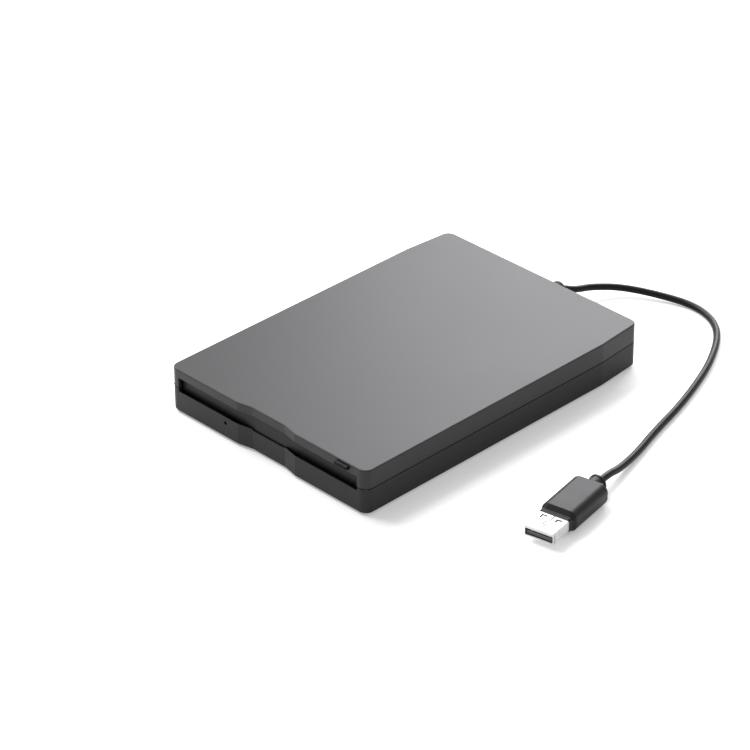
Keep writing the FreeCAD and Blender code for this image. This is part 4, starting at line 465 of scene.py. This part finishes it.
# The plug's own X runs out of its tip, where it is 0. A section is its half width, half height and corner
# radius; a section of the mouth is its half width, bottom, top and corner radius.
PLUG_TIP = Vector((105.55, -41.8, 4.2)) * MM
PLUG_TURN = math.radians(-79)
PLUG_STAND = Matrix.Translation(PLUG_TIP) @ Matrix.Rotation(PLUG_TURN, 4, "Z")
BODY = (7.2, 4.2, 3.05)
BODY_CORNER = 28
SHELL = (5.96, 2.25, 0.5)
SHELL_BORE = (5.68, 1.93, 0.35)
SHELL_SOCKET = (5.98, 2.27, 0.5)
MOUTH = (5.62, -1.6, 1.05, 0.3)
MOUTH_EDGE = (5.7, -1.68, 1.13, 0.35)
# the shell's second material, dark steel on its inside and on what is cut into it: painted shade
PAINTED_SHADE_SLOT = 1

# cuts end this far from the plug's middle, outside the shell
CUT_ACROSS = 7
CUT_UP = 3
WINDOW_BACK = -9.1
WINDOW_FRONT = -6.9
WINDOW_SIDES = ((-4.15, -1.95), (1.95, 4.15))
WINDOW_FLOOR = 1.5
LIP_BACK = -1.1
LIP_FRONT = -0.85
LIP_SIDE = 5.83
LIP_FLOOR = 2.12
SEAM_STRIPS = (((-10.3, 0.1), (-6.2, 0.4)), ((-6.5, -0.95), (-6.2, 0.4)), ((-6.5, -0.95), (-4.0, -0.65)),
               ((-4.3, -0.95), (-4.0, 0.4)), ((-4.3, 0.1), (-1.6, 0.4)))
SEAM_FLOOR = 2.05

# a leaf leaves a slit along two edges of its window and runs a little under the other two
LEAF_SLIT = 0.5
LEAF_LAP = 0.1
LEAF_LOW = 1.95
LEAF_TOP = 2.1

RELIEF_PLACE = Vector((0, 72.4, 8.6)) * MM
RELIEF_STAND = Matrix.Translation(RELIEF_PLACE) @ Matrix.Rotation(math.radians(90), 4, "Z")
GROOVES = (2.1, 4.4, 6.7)


def plug_body():
    """Soft body with a bevelled front, a shallow ring round the shell, and a collar with a lip behind."""
    shape = bmesh.new()
    loft(shape, [
        (-18.1, rounded(*SHELL_SOCKET)), (-10.35, rounded(*SHELL_SOCKET)), (-10.3, rounded(6.15, 2.48, 0.7)),
        (-10.4, rounded(6.2, 2.53, 0.75)), (-12.05, rounded(6.4, 2.72, 1.0)), (-12.1, rounded(6.5, 2.8, 2.1)),
        (-13.45, rounded(7.15, 4.15, 3.0)), (-13.6, rounded(*BODY)), (-34.2, rounded(*BODY)),
        (-34.7, rounded(7.05, 4.05, 3.0)), (-34.95, rounded(6.7, 3.75, 2.9)), (-35.0, rounded(6.3, 3.5, 2.8)),
        (-35.0, disc(3.4)), (-38.6, disc(3.3)), (-38.65, disc(3.1)), (-38.85, disc(3.1)), (-38.9, disc(3.4)),
        (-39.0, disc(3.5)), (-39.75, disc(3.5)), (-39.95, disc(3.35)), (-40.0, disc(3.1)),
    ])
    mesh = mesh_of("plug_body", shape, PLUG_STAND, corner=BODY_CORNER)
    obj = crisp(piece("plug_body", mesh, "case", "cable_rubber"))
    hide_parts("plug_overmold")
    return obj


def plug_mouth(half_width, low, high, radius):
    """Points (y, z) of the rounded opening between two heights."""
    middle = (low + high) / 2
    return [(y, z + middle) for y, z in rounded(half_width, (high - low) / 2, radius)]


def plug_cutter():
    """What is cut out of the shell: four windows, the line behind the lip and the dovetailed seam, their
    faces painted dark as shade.
    """
    cutter = bmesh.new()
    for near, far in WINDOW_SIDES:
        for low, high in ((WINDOW_FLOOR, CUT_UP), (-CUT_UP, -WINDOW_FLOOR)):
            block(cutter, (WINDOW_BACK, near, low), (WINDOW_FRONT, far, high))
    block(cutter, (LIP_BACK, -CUT_ACROSS, LIP_FLOOR), (LIP_FRONT, CUT_ACROSS, CUT_UP))
    block(cutter, (LIP_BACK, LIP_SIDE, -CUT_UP), (LIP_FRONT, CUT_ACROSS, CUT_UP))
    for low, high in SEAM_STRIPS:
        block(cutter, (*low, SEAM_FLOOR), (*high, CUT_UP))
    # the faces of the cuts take the dark steel: painted shade in the windows, the seam and the line behind
    # the lip
    for face in cutter.faces:
        face.material_index = PAINTED_SHADE_SLOT
    return cutter


def plug_sleeve():
    """Folded steel shell with its four windows, the dovetailed seam and a line behind the rolled lip; its
    inside and its cuts painted dark as shade.
    """
    shape = bmesh.new()
    bands = loft(shape, [
        (-17.7, rounded(*SHELL_BORE)), (-0.42, rounded(*SHELL_BORE)), (-0.4, plug_mouth(*MOUTH)),
        (-0.1, plug_mouth(*MOUTH)), (0, plug_mouth(*MOUTH_EDGE)), (0, rounded(5.82, 2.11, 0.45)),
        (-0.15, rounded(*SHELL)), (-18, rounded(*SHELL)),
    ])
    # the inside of the shell takes the dark steel: painted shade in its mouth
    for face in bands[0] + bands[1] + bands[2]:
        face.material_index = PAINTED_SHADE_SLOT
    bmesh.ops.recalc_face_normals(shape, faces=shape.faces)
    whole = bpy.data.meshes.new("plug_sleeve")
    shape.to_mesh(whole)
    shape.free()
    whole.materials.append(FINISHES["plug_steel"])
    whole.materials.append(FINISHES["dark_steel"])
    carved = carve(whole, plug_cutter())
    carved.transform(PLUG_STAND @ Matrix.Scale(MM, 4))
    smooth(carved)
    obj = crisp(piece("plug_sleeve", carved, "case", "plug_steel"))
    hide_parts("plug_shell")
    return obj


def window_leaves():
    """The sprung leaves that lie just under the windows of the shell."""
    shape = bmesh.new()
    for near, far in WINDOW_SIDES:
        for low, high in ((LEAF_LOW, LEAF_TOP), (-LEAF_TOP, -LEAF_LOW)):
            block(shape, (WINDOW_BACK + LEAF_SLIT, near + LEAF_SLIT, low),
                  (WINDOW_FRONT + LEAF_LAP, far + LEAF_LAP, high))
    return piece("window_leaves", mesh_of("window_leaves", shape, PLUG_STAND), "case", "plug_steel")


def relief_sleeve():
    """Strain relief: a button inside the wall, three grooves that let it flex and a domed end."""
    profile = [(-3.2, 3.9), (-3.0, 4.2), (-1.65, 4.2), (-1.6, 2.9), (0.02, 2.9), (0.02, 3.6), (0.25, 3.75),
               (1.7, 3.75)]
    for start in GROOVES:
        profile += [(start, 3.55), (start + 0.15, 2.9), (start + 0.85, 2.9), (start + 1.0, 3.5)]
    profile += [(9.9, 3.4), (10.5, 3.28), (10.95, 3.0), (11.25, 2.55), (11.4, 2.0), (11.45, 1.3)]
    shape = bmesh.new()
    loft(shape, [(x, disc(radius)) for x, radius in profile])
    obj = piece("relief_sleeve", mesh_of("relief_sleeve", shape, RELIEF_STAND), "case", "rubber")
    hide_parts("strain_relief")
    return obj


LEAD_PIECES = [plug_body(), plug_sleeve(), window_leaves(), relief_sleeve(),
               frame["nodes"]["plug_tongue"], frame["nodes"]["plug_contacts"]]

# ---------------------------------------------------------------- painted shade: black strips behind the front wall

SHADE_STRIP_SPANS = ((-46, -23.6), (-19.4, 46))
SHADE_STRIP_FRONT = -69.5
SHADE_STRIP_BACK = -68.05
SHADE_STRIP_LOW = 2.2
SHADE_STRIP_HIGH = 7.3
SHADE_STRIP_EDGE = 0.25


def painted_shade_strips():
    """Black strips against the inside of the front wall, put there as painted shade so the gap under the door
    reads dark; open where the diode looks through.
    """
    shape = bmesh.new()
    for left, right in SHADE_STRIP_SPANS:
        block(shape, (left, SHADE_STRIP_FRONT, SHADE_STRIP_LOW), (right, SHADE_STRIP_BACK, SHADE_STRIP_HIGH))
    bmesh.ops.bevel(shape, geom=shape.edges[:], offset=SHADE_STRIP_EDGE, segments=2, affect="EDGES")
    return piece("painted_shade_strips", mesh_of("painted_shade_strips", shape), "case", "rubber")


painted_shade_strips()

# ---------------------------------------------------------------- slide springs

SPRING_FRONT = 14.4
SPRING_BACK = 32.9
SPRING_ACROSS = 46.2
SPRING_HEIGHT = 5.8
SPRING_TURNS = 26
TURN_STEPS = 12
WIRE_RADIUS = 0.16
COIL_RADIUS = 0.95 - WIRE_RADIUS
EYE_LENGTH = 1.6 * COIL_RADIUS
EYE_STEPS = 15
# degrees: one step round an eye, and where the eyes of the front and the back peg start
EYE_STEP = 20
FRONT_EYE_START = 200
BACK_EYE_START = 260


def spring_eye(across, peg, start, turn):
    """Points of a hook round a peg, turning from its start by turn degrees a step."""
    angles = [math.radians(start + turn * step) for step in range(EYE_STEPS)]
    return [(across, peg + COIL_RADIUS * math.cos(angle), SPRING_HEIGHT + COIL_RADIUS * math.sin(angle))
            for angle in angles]


def spring_line(across):
    """One tension spring's wire: an eye round each peg and close turns between them."""
    points = spring_eye(across, SPRING_FRONT, FRONT_EYE_START, -EYE_STEP)
    steps = SPRING_TURNS * TURN_STEPS
    start, end = SPRING_FRONT + EYE_LENGTH, SPRING_BACK - EYE_LENGTH
    for step in range(steps + 1):
        angle = 2 * math.pi * step / TURN_STEPS
        points.append((across + COIL_RADIUS * math.sin(angle), start + (end - start) * step / steps,
                       SPRING_HEIGHT - COIL_RADIUS * math.cos(angle)))
    return points + spring_eye(across, SPRING_BACK, BACK_EYE_START, EYE_STEP)


def slide_coils():
    """Both springs of the slide plate, drawn at one length; in the drive they shorten towards their front
    pegs as the button comes out.
    """
    data = round_wire("slide_coils", WIRE_RADIUS * MM, resolution=2)
    for across in (-SPRING_ACROSS, SPRING_ACROSS):
        add_spline(data, "POLY", spring_line(across))
    wire = link(bpy.data.objects.new("wire", data))
    mesh = bpy.data.meshes.new_from_object(wire.evaluated_get(bpy.context.evaluated_depsgraph_get()))
    bpy.data.objects.remove(wire)
    mesh.materials.clear()
    mesh.shade_smooth()
    obj = piece("slide_coils", mesh, "case", "steel")
    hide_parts("slide_springs")
    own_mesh(obj)


slide_coils()

# ---------------------------------------------------------------- stage and light

LAMP_COLOUR = (1.01, 1.0, 1.035)
TABLE_COLOUR = (0.86, 0.86, 0.86, 1)
# metres from the middle, between which the table's glow grows to full
TABLE_FADE = (0.3, 1.2)


def seen_directly(tree):
    """1 for rays from the eye, mirrors or through glass; 0 for the light that falls on things."""
    path = add_node(tree, "LightPath", {})
    seen = path.outputs["Is Camera Ray"]
    for ray in ("Is Glossy Ray", "Is Transmission Ray"):
        seen = add_node(tree, "Math", {0: seen, 1: path.outputs[ray]}, operation="MAXIMUM").outputs[0]
    return seen


def add_world(fill):
    """White all round to the eye, and a soft fill of that strength to the object."""
    world = bpy.data.worlds.new("studio")
    world.use_nodes = True
    bpy.context.scene.world = world
    tree = world.node_tree
    strength = add_node(tree, "MapRange", {"Value": seen_directly(tree), "To Min": fill, "To Max": 1.0})
    background = tree.nodes["Background"]
    plug_in(tree, background.inputs["Color"], WHITE)
    plug_in(tree, background.inputs["Strength"], strength.outputs["Result"])


def add_floor(size, glow):
    """The pale table top, a matt sheet with a glow where it is looked at, which grows to white further out.

    The size is in metres.
    """
    mesh = bpy.data.meshes.new("table")
    shape = bmesh.new()
    bmesh.ops.create_grid(shape, x_segments=4, y_segments=4, size=size)
    shape.to_mesh(mesh)
    shape.free()
    floor = link(bpy.data.objects.new("table", mesh))
    material = bpy.data.materials.new("table")
    material.use_nodes = True
    tree = material.node_tree
    tree.nodes.clear()
    place = add_node(tree, "TexCoord", {}).outputs["Object"]
    distance = add_node(tree, "VectorMath", {0: place}, operation="LENGTH").outputs["Value"]
    near, far = TABLE_FADE
    lift = add_node(tree, "MapRange", {"Value": distance, "From Min": near, "From Max": far, "To Min": glow})
    strength = add_node(tree, "Math", {0: seen_directly(tree), 1: lift.outputs["Result"]},
                        operation="MULTIPLY").outputs[0]
    matt = add_node(tree, "BsdfDiffuse", {"Color": TABLE_COLOUR}).outputs[0]
    light = add_node(tree, "Emission", {"Strength": strength}).outputs[0]
    both = add_node(tree, "AddShader", {0: matt, 1: light}).outputs[0]
    add_node(tree, "OutputMaterial", {"Surface": both})
    mesh.materials.append(material)


def add_softbox(name, place, aim, size, power):
    """A rectangular soft light at place, facing aim (mm), size across (mm) and power in watts."""
    data = bpy.data.lights.new(name, "AREA")
    data.shape = "RECTANGLE"
    data.size, data.size_y = (side * MM for side in size)
    data.energy = power
    data.color = LAMP_COLOUR
    light = link(bpy.data.objects.new(name, data))
    light.location = Vector(place) * MM
    light.rotation_euler = (Vector(aim) - Vector(place)).to_track_quat("-Z", "Y").to_euler()


add_world(fill=0.45)
add_floor(size=4.0, glow=0.3)
add_softbox("back_softbox", place=(-330, 620, 420), aim=(20, 40, 19), size=(520, 520), power=7.0)
add_softbox("left_softbox", place=(-900, -90, 1000), aim=(0, 0, 0), size=(900, 900), power=22)

bpy.context.scene.view_settings.view_transform = "Standard"

# ---------------------------------------------------------------- finish

bpy.context.view_layer.update()
